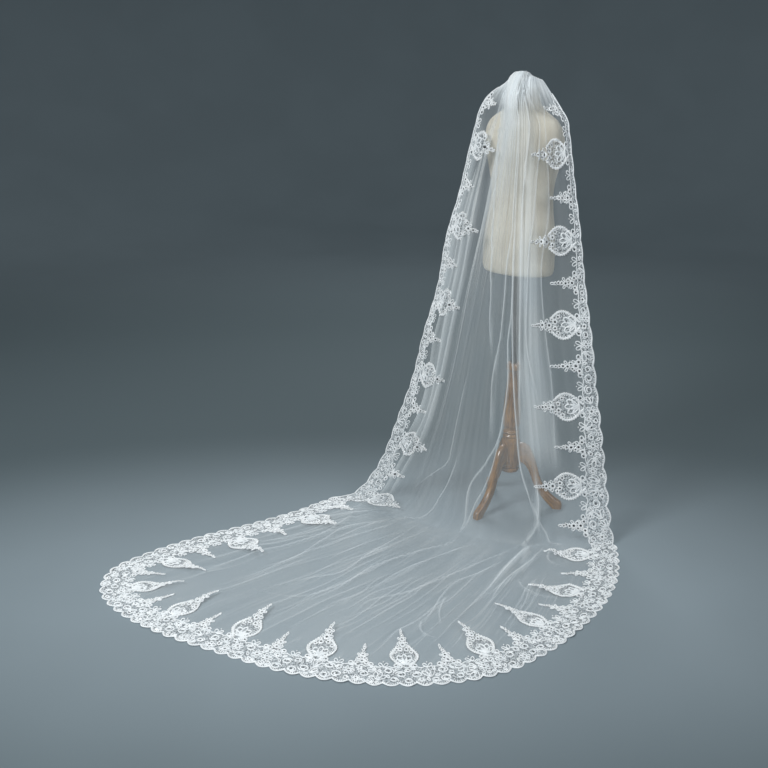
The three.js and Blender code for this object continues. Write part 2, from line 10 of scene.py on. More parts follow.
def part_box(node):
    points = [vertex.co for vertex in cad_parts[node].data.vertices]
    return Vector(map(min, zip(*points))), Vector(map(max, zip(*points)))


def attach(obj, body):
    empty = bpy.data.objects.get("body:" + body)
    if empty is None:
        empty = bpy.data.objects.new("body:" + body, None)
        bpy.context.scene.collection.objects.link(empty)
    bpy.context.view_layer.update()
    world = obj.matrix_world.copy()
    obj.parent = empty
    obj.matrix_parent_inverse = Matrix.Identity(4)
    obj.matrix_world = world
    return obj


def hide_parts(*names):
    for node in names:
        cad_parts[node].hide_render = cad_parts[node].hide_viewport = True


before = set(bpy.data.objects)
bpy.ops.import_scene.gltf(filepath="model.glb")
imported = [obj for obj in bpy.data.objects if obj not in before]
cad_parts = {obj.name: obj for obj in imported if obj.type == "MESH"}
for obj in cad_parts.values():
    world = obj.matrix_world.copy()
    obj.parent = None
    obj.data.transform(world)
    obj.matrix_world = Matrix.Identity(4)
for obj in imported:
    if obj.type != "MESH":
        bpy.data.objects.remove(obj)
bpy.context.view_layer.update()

poleLow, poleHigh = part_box("stand_pole")
axis = np.array([(poleLow.x + poleHigh.x) / 2, (poleLow.y + poleHigh.y) / 2, 0.0])  # foot of the stand's axis
rng = np.random.default_rng(7)
scene = bpy.context.scene
print("frame loaded, stand axis at", axis.round(4).tolist())


# camera, floor and lights

view = {"place": (2.1723, -2.8555, 1.660), "turn": 45.0, "down": 18.24, "lens": 46.875}
studio = {
    "floor": (0.222, 0.264, 0.288), "paintedShadeFloor": (0.072, 0.096, 0.105), "middle": (0.08, -0.77, 0.0),
    "pale": (1.7, 0.9, 1.0), "flat": 5.2, "sweep": 3.0, "wall": 5.0, "world": (0.86, 0.955, 1.0),
    "worldStrength": 0.42,
}
lights = {  # place and aim from the stand's axis in metres, size, power, colour
    "keyLight": ((-0.1, -4.2, 3.6), (0.0, -0.4, 0.6), 1.8, 178, (0.93, 0.975, 1.0)),
    "fillLight": ((3.6, -0.8, 2.4), (0.0, -0.4, 0.6), 2.6, 46, (0.92, 0.96, 1.0)),
    "backLight": ((-2.2, 2.2, 3.4), (0.0, -0.5, 0.5), 2.0, 80, (0.95, 0.98, 1.0)),
}


def lookAlong(thing, way):
    thing.rotation_mode = "QUATERNION"
    thing.rotation_quaternion = Vector(way).to_track_quat("-Z", "Y")


def makeCamera():
    data = bpy.data.cameras.new("photoCamera")
    data.sensor_width, data.lens = 36.0, view["lens"]
    eye = bpy.data.objects.new("photoCamera", data)
    scene.collection.objects.link(eye)
    turn, down = math.radians(view["turn"]), math.radians(view["down"])
    eye.location = (axis + np.array(view["place"])).tolist()
    lookAlong(eye, (-math.sin(turn) * math.cos(down), math.cos(turn) * math.cos(down), -math.sin(down)))
    scene.camera = eye


def makeLights():
    for name, (at, aim, size, power, colour) in lights.items():
        data = bpy.data.lights.new(name, "AREA")
        data.shape, data.size = "DISK", size
        data.energy, data.color = power, colour
        lamp = bpy.data.objects.new(name, data)
        scene.collection.objects.link(lamp)
        lamp.location = (axis + np.array(at)).tolist()
        lookAlong(lamp, np.array(aim) - np.array(at))
    world = bpy.data.worlds.new("softRoom")
    world.use_nodes = True
    sky = world.node_tree.nodes["Background"]
    sky.inputs["Color"].default_value = (*studio["world"], 1)
    sky.inputs["Strength"].default_value = studio["worldStrength"]
    scene.world = world


makeCamera()
makeLights()
scene.cycles.transparent_max_bounces = 48  # many layers of net lie one behind another
scene.view_settings.view_transform = "Standard"  # keeps white lace white


# node helpers and the effects that materials share

def addNode(tree, kind, inputs=None, **settings):
    node = tree.nodes.new(kind)
    for key, value in settings.items():
        setattr(node, key, value)
    for key, value in (inputs or {}).items():
        if isinstance(value, bpy.types.NodeSocket):
            tree.links.new(value, node.inputs[key])
        else:
            node.inputs[key].default_value = value
    return node


def calc(tree, operation, *values, clamp=False):
    inputs = dict(enumerate(values))
    return addNode(tree, "ShaderNodeMath", inputs, operation=operation, use_clamp=clamp).outputs[0]


def remap(tree, value, low, high, toLow=0.0, toHigh=1.0):
    inputs = {"Value": value, "From Min": low, "From Max": high, "To Min": toLow, "To Max": toHigh}
    return addNode(tree, "ShaderNodeMapRange", inputs, interpolation_type="SMOOTHSTEP").outputs["Result"]


def scaled(tree, value, low, high):  # 0 to 1 becomes low to high
    return remap(tree, value, 0.0, 1.0, low, high)


def mixColours(tree, factor, one, two):
    node = addNode(tree, "ShaderNodeMix", data_type="RGBA")
    for socket, value in ((node.inputs[0], factor), (node.inputs[6], one), (node.inputs[7], two)):
        if isinstance(value, bpy.types.NodeSocket):
            tree.links.new(value, socket)
        else:
            socket.default_value = (*value, 1) if isinstance(value, tuple) else value
    return node.outputs[2]


def newGroup(name, values, output):  # takes a vector and some values, puts out one value
    group = bpy.data.node_groups.new(name, "ShaderNodeTree")
    group.interface.new_socket("Vector", in_out="INPUT", socket_type="NodeSocketVector")
    for label, value in values.items():
        socket = group.interface.new_socket(label, in_out="INPUT", socket_type="NodeSocketFloat")
        socket.default_value = value
    group.interface.new_socket(output, in_out="OUTPUT", socket_type="NodeSocketFloat")
    given = group.nodes.new("NodeGroupInput").outputs
    return group, given, group.nodes.new("NodeGroupOutput").inputs[output]


def makeNetGroup():  # honeycomb of fine threads, 1 on a thread and 0 in a hole
    group, given, out = newGroup("netThreads", {"Cells": 420.0, "Thread": 0.16}, "Threads")
    inputs = {"Vector": given["Vector"], "Scale": given["Cells"], "Randomness": 0.4}
    cells = addNode(group, "ShaderNodeTexVoronoi", inputs, voronoi_dimensions="2D",
                    feature="DISTANCE_TO_EDGE")
    soft = calc(group, "MULTIPLY", given["Thread"], 1.8)
    group.links.new(remap(group, cells.outputs["Distance"], given["Thread"], soft, 1.0, 0.0), out)
    return group


def makeWeaveGroup():  # plain weave, each thread over one and under one
    group, given, out = newGroup("plainWeave", {"Threads": 900.0}, "Height")
    axes = addNode(group, "ShaderNodeSeparateXYZ", {"Vector": given["Vector"]}).outputs
    rounds = []
    for side in ("X", "Y"):
        turn = calc(group, "MULTIPLY", calc(group, "MULTIPLY", axes[side], given["Threads"]), math.pi)
        rounds.append(calc(group, "ABSOLUTE", calc(group, "SINE", turn)))
    squares = addNode(group, "ShaderNodeTexChecker", {"Vector": given["Vector"], "Scale": given["Threads"]})
    over = squares.outputs["Fac"]
    warp = calc(group, "MULTIPLY", rounds[0], over)
    weft = calc(group, "MULTIPLY", rounds[1], calc(group, "SUBTRACT", 1.0, over))
    group.links.new(calc(group, "ADD", warp, weft), out)
    return group


def makeMottleGroup():  # soft uneven patches for colour and gloss
    group, given, out = newGroup("mottle", {"Scale": 12.0, "Detail": 4.0}, "Value")
    noise = addNode(group, "ShaderNodeTexNoise", {key: given[key] for key in ("Vector", "Scale", "Detail")})
    group.links.new(remap(group, noise.outputs["Fac"], 0.32, 0.68), out)
    return group


netGroup, weaveGroup, mottleGroup = makeNetGroup(), makeWeaveGroup(), makeMottleGroup()


def useGroup(tree, group, **inputs):
    return addNode(tree, "ShaderNodeGroup", inputs, node_tree=group).outputs


def mottled(tree, vector, scale, detail):
    return useGroup(tree, mottleGroup, Vector=vector, Scale=scale, Detail=detail)["Value"]


def readPoints(tree, name, output="Fac"):  # a value that each point of the mesh holds
    return addNode(tree, "ShaderNodeAttribute", attribute_name=name).outputs[output]


def drawnOut(tree, vector, scale):
    return addNode(tree, "ShaderNodeMapping", {"Vector": vector, "Scale": scale}).outputs["Vector"]


def noiseOf(tree, vector, scale, detail, distortion):
    inputs = {"Vector": vector, "Scale": scale, "Detail": detail, "Distortion": distortion}
    return addNode(tree, "ShaderNodeTexNoise", inputs).outputs["Fac"]


def spotGap(tree, vector, scale):  # distance to the nearest of many scattered spots
    inputs = {"Vector": vector, "Scale": scale, "Randomness": 1.0}
    return addNode(tree, "ShaderNodeTexVoronoi", inputs, voronoi_dimensions="2D").outputs["Distance"]


def newMaterial(name, **values):
    material = bpy.data.materials.new(name)
    material.use_nodes = True
    tree = material.node_tree
    shader = tree.nodes["Principled BSDF"]
    for key, value in values.items():
        shader.inputs[key].default_value = value
    return material, tree, shader


def flatCloth(tree):  # place on the flat cloth, in metres
    return addNode(tree, "ShaderNodeUVMap", uv_map="cloth").outputs["UV"]


def feed(tree, shader, label, value):
    tree.links.new(value, shader.inputs[label])


def bumpFrom(tree, shader, height, distance, strength):
    node = addNode(tree, "ShaderNodeBump", {"Height": height, "Distance": distance, "Strength": strength})
    feed(tree, shader, "Normal", node.outputs["Normal"])


# finishes

def makeFloorFinish():
    material, tree, shader = newMaterial("paleFloor", Roughness=0.85)
    place = addNode(tree, "ShaderNodeTexCoord").outputs["Object"]
    value = mottled(tree, place, 1.4, 2.0)
    base = studio["floor"]
    near = mixColours(tree, value, tuple(0.97 * c for c in base), tuple(1.03 * c for c in base))
    middle = (axis + np.array(studio["middle"])).tolist()
    inputs = {"Vector": place, "Location": middle, "Rotation": (0, 0, math.radians(view["turn"])),
              "Scale": studio["pale"]}
    off = addNode(tree, "ShaderNodeMapping", inputs, vector_type="TEXTURE").outputs["Vector"]
    gap = addNode(tree, "ShaderNodeVectorMath", {0: off}, operation="LENGTH").outputs["Value"]
    # painted shade: the floor's colour darkens round the pale middle, standing in for light falling off
    # towards the wall
    far = calc(tree, "MULTIPLY", remap(tree, gap, 0.35, 1.6), remap(tree, gap, 3.4, 7.5, 1.0, 0.25))
    feed(tree, shader, "Base Color", mixColours(tree, far, near, studio["paintedShadeFloor"]))
    return material


def makeTulleFinish():
    soft = {"Roughness": 0.55, "Specular IOR Level": 0.35, "Sheen Weight": 0.25, "Sheen Roughness": 0.35}
    material, tree, shader = newMaterial("tulleNet", **soft)
    flat = flatCloth(tree)
    threads = useGroup(tree, netGroup, Vector=flat, Cells=430.0, Thread=0.17)["Threads"]
    stretched = drawnOut(tree, flat, (34.0, 1.1, 1.0))
    streaks = mottled(tree, stretched, 1.0, 4.0)
    patches = mottled(tree, flat, 5.0, 2.0)
    cover = readPoints(tree, "cover")
    net = scaled(tree, threads, 0.72, 1.42)
    soft = scaled(tree, streaks, 0.88, 1.12)
    onFloor = readPoints(tree, "onFloor")
    alpha = calc(tree, "MULTIPLY", calc(tree, "MULTIPLY", cover, net), soft)
    # thin crease lines where the net lies on the floor
    for scale, amount in (((15.0, 0.45, 1.0), 0.5), ((27.0, 0.8, 1.0), 0.4)):
        noise = noiseOf(tree, drawnOut(tree, flat, scale), 1.0, 1.0, 0.5)
        ridge = remap(tree, calc(tree, "ABSOLUTE", calc(tree, "SUBTRACT", noise, 0.5)), 0.0, 0.016, 1.0, 0.0)
        more = calc(tree, "MULTIPLY", ridge, calc(tree, "MULTIPLY", onFloor, amount))
        alpha = calc(tree, "MULTIPLY", alpha, calc(tree, "ADD", 1.0, more), clamp=True)
    feed(tree, shader, "Alpha", alpha)
    colour = mixColours(tree, patches, (0.85, 0.895, 0.915), (0.92, 0.945, 0.945))
    feed(tree, shader, "Base Color", colour)
    bumpFrom(tree, shader, threads, 0.0003, 0.25)
    return material


def makeCordFinish():
    soft = {"Roughness": 0.5, "Sheen Weight": 0.2, "Sheen Roughness": 0.4}
    material, tree, shader = newMaterial("laceCord", **soft)
    flat = flatCloth(tree)
    twist = mottled(tree, flat, 900.0, 2.0)
    patches = mottled(tree, flat, 40.0, 3.0)
    colour = mixColours(tree, patches, (0.80, 0.82, 0.83), (0.95, 0.955, 0.955))
    feed(tree, shader, "Base Color", colour)
    bumpFrom(tree, shader, twist, 0.0006, 0.6)
    return material


def makeGroundFinish():
    material, tree, shader = newMaterial("laceGround", **{"Roughness": 0.6})
    flat = flatCloth(tree)
    threads = useGroup(tree, netGroup, Vector=flat, Cells=250.0, Thread=0.2)["Threads"]
    patches = mottled(tree, flat, 130.0, 3.0)
    stitched = remap(tree, spotGap(tree, flat, 165.0), 0.26, 0.42, 1.0, 0.0)  # clumps of stitches on the net
    dark = remap(tree, spotGap(tree, flat, 104.0), 0.17, 0.23, 1.0, 0.0)  # small sequins coloured near black: a painted reflection of dark surroundings
    net = calc(tree, "MULTIPLY", scaled(tree, threads, 0.08, 0.36), scaled(tree, patches, 0.5, 1.4))
    alpha = calc(tree, "MAXIMUM", net, calc(tree, "MULTIPLY", stitched, scaled(tree, patches, 0.35, 0.95)))
    alpha = calc(tree, "MAXIMUM", alpha, calc(tree, "MULTIPLY", dark, 0.9), clamp=True)
    feed(tree, shader, "Alpha", alpha)
    colour = mixColours(tree, patches, (0.66, 0.69, 0.71), (0.86, 0.875, 0.88))
    feed(tree, shader, "Base Color", mixColours(tree, dark, colour, (0.03, 0.032, 0.035)))
    bumpFrom(tree, shader, calc(tree, "ADD", threads, stitched), 0.0005, 0.5)
    return material


def makeSequinFinish():
    material, tree, shader = newMaterial("sequins", **{"Coat Weight": 0.2, "Metallic": 0.7})
    flat = flatCloth(tree)
    value = mottled(tree, flat, 120.0, 1.0)
    # painted reflection: the sequins' colour is kept near black for the dark surroundings they mirror; their
    # gloss comes from the shader
    feed(tree, shader, "Base Color", mixColours(tree, value, (0.015, 0.015, 0.018), (0.16, 0.165, 0.17)))
    feed(tree, shader, "Roughness", scaled(tree, value, 0.12, 0.3))
    return material


def makePearlFinish():
    material, tree, shader = newMaterial("pearlBeads", **{"Coat Weight": 0.5, "Coat Roughness": 0.08})
    flat = flatCloth(tree)
    value = mottled(tree, flat, 160.0, 1.0)
    feed(tree, shader, "Base Color", mixColours(tree, value, (0.83, 0.82, 0.80), (0.95, 0.94, 0.93)))
    feed(tree, shader, "Roughness", scaled(tree, value, 0.18, 0.32))
    return material


def makeLinenFinish():
    material, tree, shader = newMaterial("linenCover", **{"Specular IOR Level": 0.25, "Sheen Weight": 0.15})
    flat = flatCloth(tree)
    weave = useGroup(tree, weaveGroup, Vector=flat, Threads=760.0)["Height"]
    patches = mottled(tree, flat, 16.0, 5.0)
    slubs = mottled(tree, drawnOut(tree, flat, (40.0, 420.0, 1.0)), 1.0, 2.0)
    seam = readPoints(tree, "seam")  # 1 on a panel's seam
    colour = mixColours(tree, patches, (0.62, 0.555, 0.445), (0.71, 0.65, 0.535))
    colour = mixColours(tree, remap(tree, slubs, 0.55, 1.0, 0.0, 0.35), colour, (0.62, 0.54, 0.41))
    colour = mixColours(tree, remap(tree, seam, 0.25, 1.0, 0.0, 0.75), colour, (0.42, 0.35, 0.26))
    feed(tree, shader, "Base Color", colour)
    feed(tree, shader, "Roughness", scaled(tree, patches, 0.82, 0.93))
    height = calc(tree, "SUBTRACT", calc(tree, "MULTIPLY", weave, 0.4), calc(tree, "MULTIPLY", seam, 2.0))
    bumpFrom(tree, shader, height, 0.0008, 0.55)
    return material


def makeWoodFinish():
    material, tree, shader = newMaterial("turnedWood", **{"Coat Roughness": 0.12})
    grain = readPoints(tree, "grain", "Vector")  # metres, Z along the grain
    stretched = drawnOut(tree, grain, (1.0, 1.0, 0.07))
    wander = noiseOf(tree, stretched, 55.0, 3.0, 0.6)
    rings = calc(tree, "FRACT", calc(tree, "MULTIPLY", wander, 9.0))
    bands = remap(tree, rings, 0.0, 1.0)
    pores = mottled(tree, stretched, 520.0, 2.0)
    patches = mottled(tree, grain, 9.0, 2.0)
    colour = mixColours(tree, bands, (0.085, 0.034, 0.006), (0.290, 0.130, 0.024))
    colour = mixColours(tree, scaled(tree, patches, 0.0, 0.35), colour, (0.48, 0.24, 0.055))
    colour = mixColours(tree, remap(tree, pores, 0.75, 1.0, 0.0, 0.45), colour, (0.15, 0.070, 0.028))
    feed(tree, shader, "Base Color", colour)
    feed(tree, shader, "Roughness", scaled(tree, patches, 0.26, 0.42))
    feed(tree, shader, "Coat Weight", scaled(tree, pores, 0.95, 0.6))
    bumpFrom(tree, shader, calc(tree, "SUBTRACT", bands, pores), 0.0003, 0.25)
    return material


def makeSteelFinish():
    material, tree, shader = newMaterial("darkSteel", **{"Metallic": 0.8})
    place = addNode(tree, "ShaderNodeTexCoord").outputs["Object"]
    drawn = drawnOut(tree, place, (300.0, 300.0, 3.0))
    lines = mottled(tree, drawn, 1.0, 2.0)
    patches = mottled(tree, place, 26.0, 4.0)
    feed(tree, shader, "Base Color", mixColours(tree, patches, (0.050, 0.045, 0.042), (0.105, 0.098, 0.092)))
    feed(tree, shader, "Roughness", scaled(tree, lines, 0.28, 0.46))
    bumpFrom(tree, shader, lines, 0.0002, 0.3)
    return material


def makeCombFinish():
    material, tree, shader = newMaterial("clearComb", **{"Specular IOR Level": 0.6, "Coat Weight": 0.3})
    place = addNode(tree, "ShaderNodeTexCoord").outputs["Object"]
    value = mottled(tree, place, 120.0, 2.0)
    feed(tree, shader, "Base Color", mixColours(tree, value, (0.80, 0.82, 0.82), (0.90, 0.91, 0.90)))
    feed(tree, shader, "Roughness", scaled(tree, value, 0.12, 0.26))
    feed(tree, shader, "Alpha", scaled(tree, value, 0.55, 0.68))
    return material


tulleFinish, cordFinish, groundFinish = makeTulleFinish(), makeCordFinish(), makeGroundFinish()
sequinFinish, pearlFinish = makeSequinFinish(), makePearlFinish()
linenFinish, woodFinish = makeLinenFinish(), makeWoodFinish()
steelFinish, combFinish = makeSteelFinish(), makeCombFinish()
print("finishes made:", len(bpy.data.materials))


# mesh helpers

def meshPiece(name, points, faces, materials, faceMaterials=None, flat=None, smooth=True):
    mesh = bpy.data.meshes.new(name)
    mesh.from_pydata((np.asarray(points) + axis).tolist(), [], faces)
    for material in materials:
        mesh.materials.append(material)
    if faceMaterials is not None:
        mesh.polygons.foreach_set("material_index", np.asarray(faceMaterials, dtype=np.int32))
    mesh.polygons.foreach_set("use_smooth", np.full(len(mesh.polygons), smooth))
    if flat is not None:
        corners = np.empty(len(mesh.loops), dtype=np.int32)
        mesh.loops.foreach_get("vertex_index", corners)
        layer = mesh.uv_layers.new(name="cloth")
        layer.data.foreach_set("uv", np.asarray(flat, dtype=np.float32)[corners].ravel())
    mesh.update()
    piece = bpy.data.objects.new(name, mesh)
    scene.collection.objects.link(piece)
    return piece


def declare(piece, slot, *nodes):  # puts the piece on the root body and hides the solids that it stands for; slot is not used
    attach(piece, "root")
    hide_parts(*nodes)


def pointValues(piece, name, values):
    kind = "FLOAT" if np.ndim(values) == 1 else "FLOAT_VECTOR"
    layer = piece.data.attributes.new(name, kind, "POINT")
    label = "value" if kind == "FLOAT" else "vector"
    layer.data.foreach_set(label, np.asarray(values, dtype=np.float32).ravel())


def gridFaces(rows, columns, first=0, wrap=False):
    faces = []
    for r in range(rows - 1):
        for c in range(columns if wrap else columns - 1):
            d = (c + 1) % columns
            a = first + r * columns
            faces.append((a + c, a + columns + c, a + columns + d, a + d))
    return faces


def smoothThrough(keys, values, x):  # smooth curve through rising keys
    keys, values, x = np.asarray(keys, float), np.asarray(values, float), np.asarray(x, float)
    rest = (1,) * (values.ndim - 1)
    rise = np.diff(values, axis=0) / np.diff(keys).reshape(-1, *rest)
    slope = np.concatenate([rise[:1], (rise[1:] + rise[:-1]) / 2, rise[-1:]])
    i = np.clip(np.searchsorted(keys, x) - 1, 0, len(keys) - 2)
    span = (keys[i + 1] - keys[i]).reshape(*x.shape, *rest)
    t = ((x - keys[i]) / (keys[i + 1] - keys[i])).reshape(*x.shape, *rest)
    u = 1 - t
    return (values[i] * (1 + 2 * t) * u * u + values[i + 1] * (3 - 2 * t) * t * t
            + span * (slope[i] * t * u * u - slope[i + 1] * t * t * u))


def unit(v):
    return v / np.maximum(np.linalg.norm(v, axis=-1, keepdims=True), 1e-12)


def leftOf(way):  # square to a way on the flat, to its left
    return np.stack([-way[:, 1], way[:, 0]], -1)


def runAlong(points):  # length along a line up to each of its points
    return np.concatenate([[0], np.cumsum(np.linalg.norm(np.diff(points, axis=0), axis=1))])


def smoothRamp(x, low, high):
    t = np.clip((x - low) / (high - low), 0, 1)
    return t * t * (3 - 2 * t)


# how the sheet hangs, in millimetres from the stand's axis: place across the flat cloth, then the points
# that this lengthwise line passes at the crown, the nape and the shoulder, where it lands, and its flare

hangTable = np.array([
    [-750, -68, 2, 1574, -118, -42, 1531, -150, -68, 1462, -518, -439, 340],
    [-480, -41, -25, 1590, -24, -74, 1538, -14, -114, 1446, -325, -388, 300],
    [-300, -25, -28, 1598, -8, -82, 1540, 14, -124, 1434, -235, -386, 280],
    [0, 0, -28, 1602, 14, -87, 1541, 46, -128, 1430, -20, -352, 250],
    [300, 26, -27, 1598, 46, -81, 1540, 82, -122, 1431, 222, -268, 250],
    [480, 43, -24, 1590, 72, -64, 1535, 112, -98, 1434, 312, -192, 150],
    [750, 64, 14, 1573, 119, 19, 1506, 177, 13, 1437, 494, -3, -20],
]) / 1000
veil = {
    "half": 0.75, "length": 3.0, "cutArea": 3.95, "strip": 0.27, "gatherHalf": 0.045, "gatherY": 0.018,
    "gatherZ": 1.5776, "levels": [0, 0.03, 0.065, 0.13, 0.19], "flarePower": 7, "fillet": 0.9,
    "lift": 0.0006, "netCover": 0.112, "floorCover": 0.14, "leastSpread": 0.74, "evenShade": 0.85,
    "pleatShare": 0.3, "mostLayers": 7, "tuckHalf": 0.003, "tuckHigh": 0.0035, "tuckCover": 0.34,
    "flutter": 0.005, "sway": 0.003,
    "bandFrom": 40,  # a crease wider than this, in millimetres, is a band of doubled net
    # shares fallen, then fullness, extra layers at the crown, and height of the gathers
    "fullness": [[0, 0.03, 0.06, 0.10, 0.2, 1], [3.4, 3.0, 1.3, 0.36, 0.20, 0.08]],
    "crownLayers": [[0, 0.03, 0.06, 0.10], [10, 8, 2.5, 0]],
    "gathers": [[0, 0.02, 0.07, 0.16, 0.3, 0.45, 1],
                [0.0004, 0.0024, 0.0040, 0.0036, 0.0024, 0.0014, 0.0004]],
}
# start across, depth at comb, shoulder, middle and floor in millimetres, pinch of the crest, lean
pleatTable = np.array([
    [-480, 3, 6, 24, 12, 0.40, 0.25], [-424, 3, 7, 27, 16, 0.45, 0.30], [-364, 3, 7, 24, 13, 0.40, 0.15],
    [-300, 3, 9, 16, 6, 0.30, -0.10], [-208, 3, 10, 14, 9, 0.35, 0.15], [-124, 3, 10, 18, 5, 0.30, -0.20],
    [-40, 3, 9, 21, 10, 0.40, 0.15], [36, 3, 10, 19, 6, 0.30, -0.15], [112, 3, 9, 22, 11, 0.40, 0.20],
    [188, 3, 9, 21, 8, 0.35, -0.15], [256, 3, 8, 26, 14, 0.45, 0.25], [320, 3, 7, 27, 16, 0.45, -0.25],
    [376, 3, 7, 26, 12, 0.40, -0.20], [432, 3, 6, 21, 14, 0.40, -0.25],
])
# main creases of the fall: points of share fallen and place across in millimetres, then height and half
# width in millimetres, and extra layers of net in the crease
creaseTable = [
    ([(.03, -420), (.10, -490), (.18, -530), (.28, -528), (.37, -512), (.44, -496), (.53, -484),
      (.60, -478), (.69, -484), (.75, -492), (.81, -515), (.85, -540), (.89, -550),
      (.95, -550)], 14, 11, 2.5),
    ([(.12, -560), (.20, -575), (.30, -583), (.42, -575), (.53, -558), (.60, -535), (.67, -520),
      (.74, -525), (.80, -562), (.85, -598), (.91, -600), (.97, -602)], 13, 11, 2.4),
    ([(.20, -612), (.30, -620), (.44, -617), (.55, -625), (.60, -617), (.67, -592), (.73, -588),
      (.78, -612), (.83, -655), (.88, -668), (.94, -668)], 10, 10, 2.0),
    ([(.13, -690), (.22, -695), (.32, -695), (.42, -690), (.52, -680)], 2, 50, 3.6),
    ([(.24, -560), (.34, -556), (.44, -552), (.55, -545), (.67, -535), (.75, -540),
      (.81, -562)], 4, 64, 1.5),
    ([(.03, -250), (.077, -430), (.12, -420), (.16, -340), (.208, -220), (.266, -130), (.355, -45),
      (.40, -5), (.46, 45), (.53, 75), (.58, 100)], 10, 14, 1.5),
    ([(.038, 162), (.118, 260), (.204, 250), (.322, 232), (.38, 196), (.46, 190), (.53, 178), (.59, 147),
      (.63, 138), (.69, 150), (.75, 160)], 11, 15, 1.5),
    ([(.10, 290), (.20, 282), (.30, 264), (.38, 254), (.48, 268), (.54, 248), (.62, 262), (.66, 256),
      (.70, 235), (.74, 220), (.79, 157), (.86, 62), (.93, 72), (.99, 72)], 9, 9, 1.9),
    ([(.70, 240), (.74, 220), (.79, 192), (.84, 160), (.89, 110), (.98, 75)], 8, 9, 1.2),
    ([(.03, 200), (.07, 370), (.12, 430), (.206, 390), (.291, 357), (.38, 350), (.46, 354), (.54, 360),
      (.66, 360), (.72, 362)], 11, 14, 1.5),
    ([(.30, 276), (.40, 280), (.48, 284), (.58, 298), (.66, 318), (.72, 338), (.79, 365), (.84, 408),
      (.87, 438), (.91, 470), (.95, 470)], 9, 9, 1.8),
    ([(.03, 300), (.07, 450), (.12, 526), (.177, 520), (.235, 495), (.293, 475), (.365, 432), (.44, 418),
      (.54, 412), (.59, 440), (.64, 478), (.70, 500)], 8, 10, 0.9),
    ([(.03, 450), (.054, 560), (.127, 574), (.166, 578), (.25, 580), (.34, 565)], 6, 10, 0.7),
    ([(.25, 585), (.293, 570), (.394, 520), (.46, 522), (.54, 538), (.62, 556), (.72, 560),
      (.80, 562)], 7, 9, 0.9),
    ([(.80, 465), (.88, 475), (.92, 458), (.96, 408), (1.0, 377)], 18, 16, 2.6),
    ([(.88, 465), (.91, 480), (.94, 504), (.98, 515), (1.0, 540)], 12, 10, 1.2),
    ([(.62, -110), (.70, -125), (.75, -130), (.79, -128), (.82, -134), (.86, -255),
      (.90, -362)], 5, 10, 0.6),
    ([(.80, -60), (.86, -85), (.90, -115), (.97, -178), (1.0, -233)], 6, 10, 0.9),
    ([(.06, 300), (.12, 375), (.20, 384), (.30, 394), (.38, 404), (.48, 416), (.54, 426), (.60, 440),
      (.66, 450), (.72, 462), (.80, 480)], 3, 94, 2.9),
]
pleatEnds = np.append(pleatTable[1:, 0], 480)
pleatLevels = [0, 0.13, 0.5, 1]


def smoothSheet(across, fallen):  # the sheet without its pleats, as rows down and columns across
    across, fallen = np.atleast_1d(across), np.atleast_1d(fallen)
    line = smoothThrough(hangTable[:, 0], hangTable[:, 1:], across)
    crown, nape, shoulder = line[:, :3], line[:, 3:6], line[:, 6:9]
    landing, flare = line[:, 9:11], line[:, 11]
    levels, fillet = veil["levels"], veil["fillet"]

    def below(fall):
        drop = ((fall - levels[3]) / (1 - levels[3]))[:, None]
        out = ((1 - flare) * drop + flare * np.abs(drop) ** veil["flarePower"])[..., None]
        steep = 1 / (1 - fillet ** 2)
        height = np.where(drop < fillet, 1 - 2 * steep * (1 - fillet) * drop, steep * (1 - drop) ** 2)
        plan = shoulder[:, :2] * (1 - out) + landing * out
        return np.concatenate([plan, (shoulder[:, 2] * height)[..., None]], axis=-1)

    edge = np.stack([veil["gatherHalf"] * across / veil["half"], np.full(len(across), veil["gatherY"]),
                     np.full(len(across), veil["gatherZ"])], -1)
    marks = np.stack([edge, crown, nape, shoulder, below(np.array([levels[4]]))[0]])
    sheet = below(np.maximum(fallen, levels[3]))
    top = fallen < levels[3]
    if top.any():
        sheet[top] = smoothThrough(levels, marks, fallen[top])
    return sheet


def pleatValues(across):  # pleat number, place within it from 0 to 1, and whether there is a pleat at all
    mm = across * 1000
    number = np.clip(np.searchsorted(pleatTable[:, 0], mm, side="right") - 1, 0, len(pleatTable) - 1)
    share = (mm - pleatTable[number, 0]) / (pleatEnds[number] - pleatTable[number, 0])
    return number, np.clip(share, 0, 1), (mm > -480) & (mm < 480)


def creases(place, fallen):  # height of the creases, extra layers in them, and how they draw the cloth in
    height, layers, draw = (np.zeros_like(place) for _ in range(3))
    full = np.interp(fallen, [0, 0.1, 0.25, 0.4], [0.25, 0.4, 0.75, 1])[:, None]
    for path, tall, wide, extra in creaseTable:
        path = np.array(path)
        first, last = path[0, 0], path[-1, 0]
        line = smoothThrough(path[:, 0], path[:, 1] / 1000, fallen)[:, None]
        ends = smoothRamp(fallen, first - 0.02, first + 0.06)
        if last < 1:
            ends = ends * (1 - smoothRamp(fallen, last - 0.06, last + 0.02))
        isBand = wide > veil["bandFrom"]
        off = (place - line) / (wide / 1000)
        near = ends[:, None] * np.exp(-off ** (4 if isBand else 2))  # a band has a clear edge
        height += tall / 1000 * near
        layers += extra * near * full
        if not isBand:
            draw -= 0.35 * wide / 1000 * off * near
    return height, layers, draw


def scallopInset(along, step, each, depth):  # how far the hem steps in between the scallops
    return depth * (1 - np.abs(np.sin(each * math.pi * along / step)) ** 0.8)


hemShape = {
    "depth": 0.015, "topDepth": 0.005, "sideScallops": 2, "trainScallops": 3, "leftSteps": 12,
    "trainSteps": 24, "rightSteps": 11, "plain": 0.075,
    "shifted": 0.045,  # the columns of the net follow the scallops as far in as this
}


def edgeRun(side):  # length down a side edge at each of many heights
    fallen = np.linspace(0, 1, 401)
    points = smoothSheet(np.array([side * veil["half"]]), fallen)[:, 0]
    return fallen, runAlong(points)


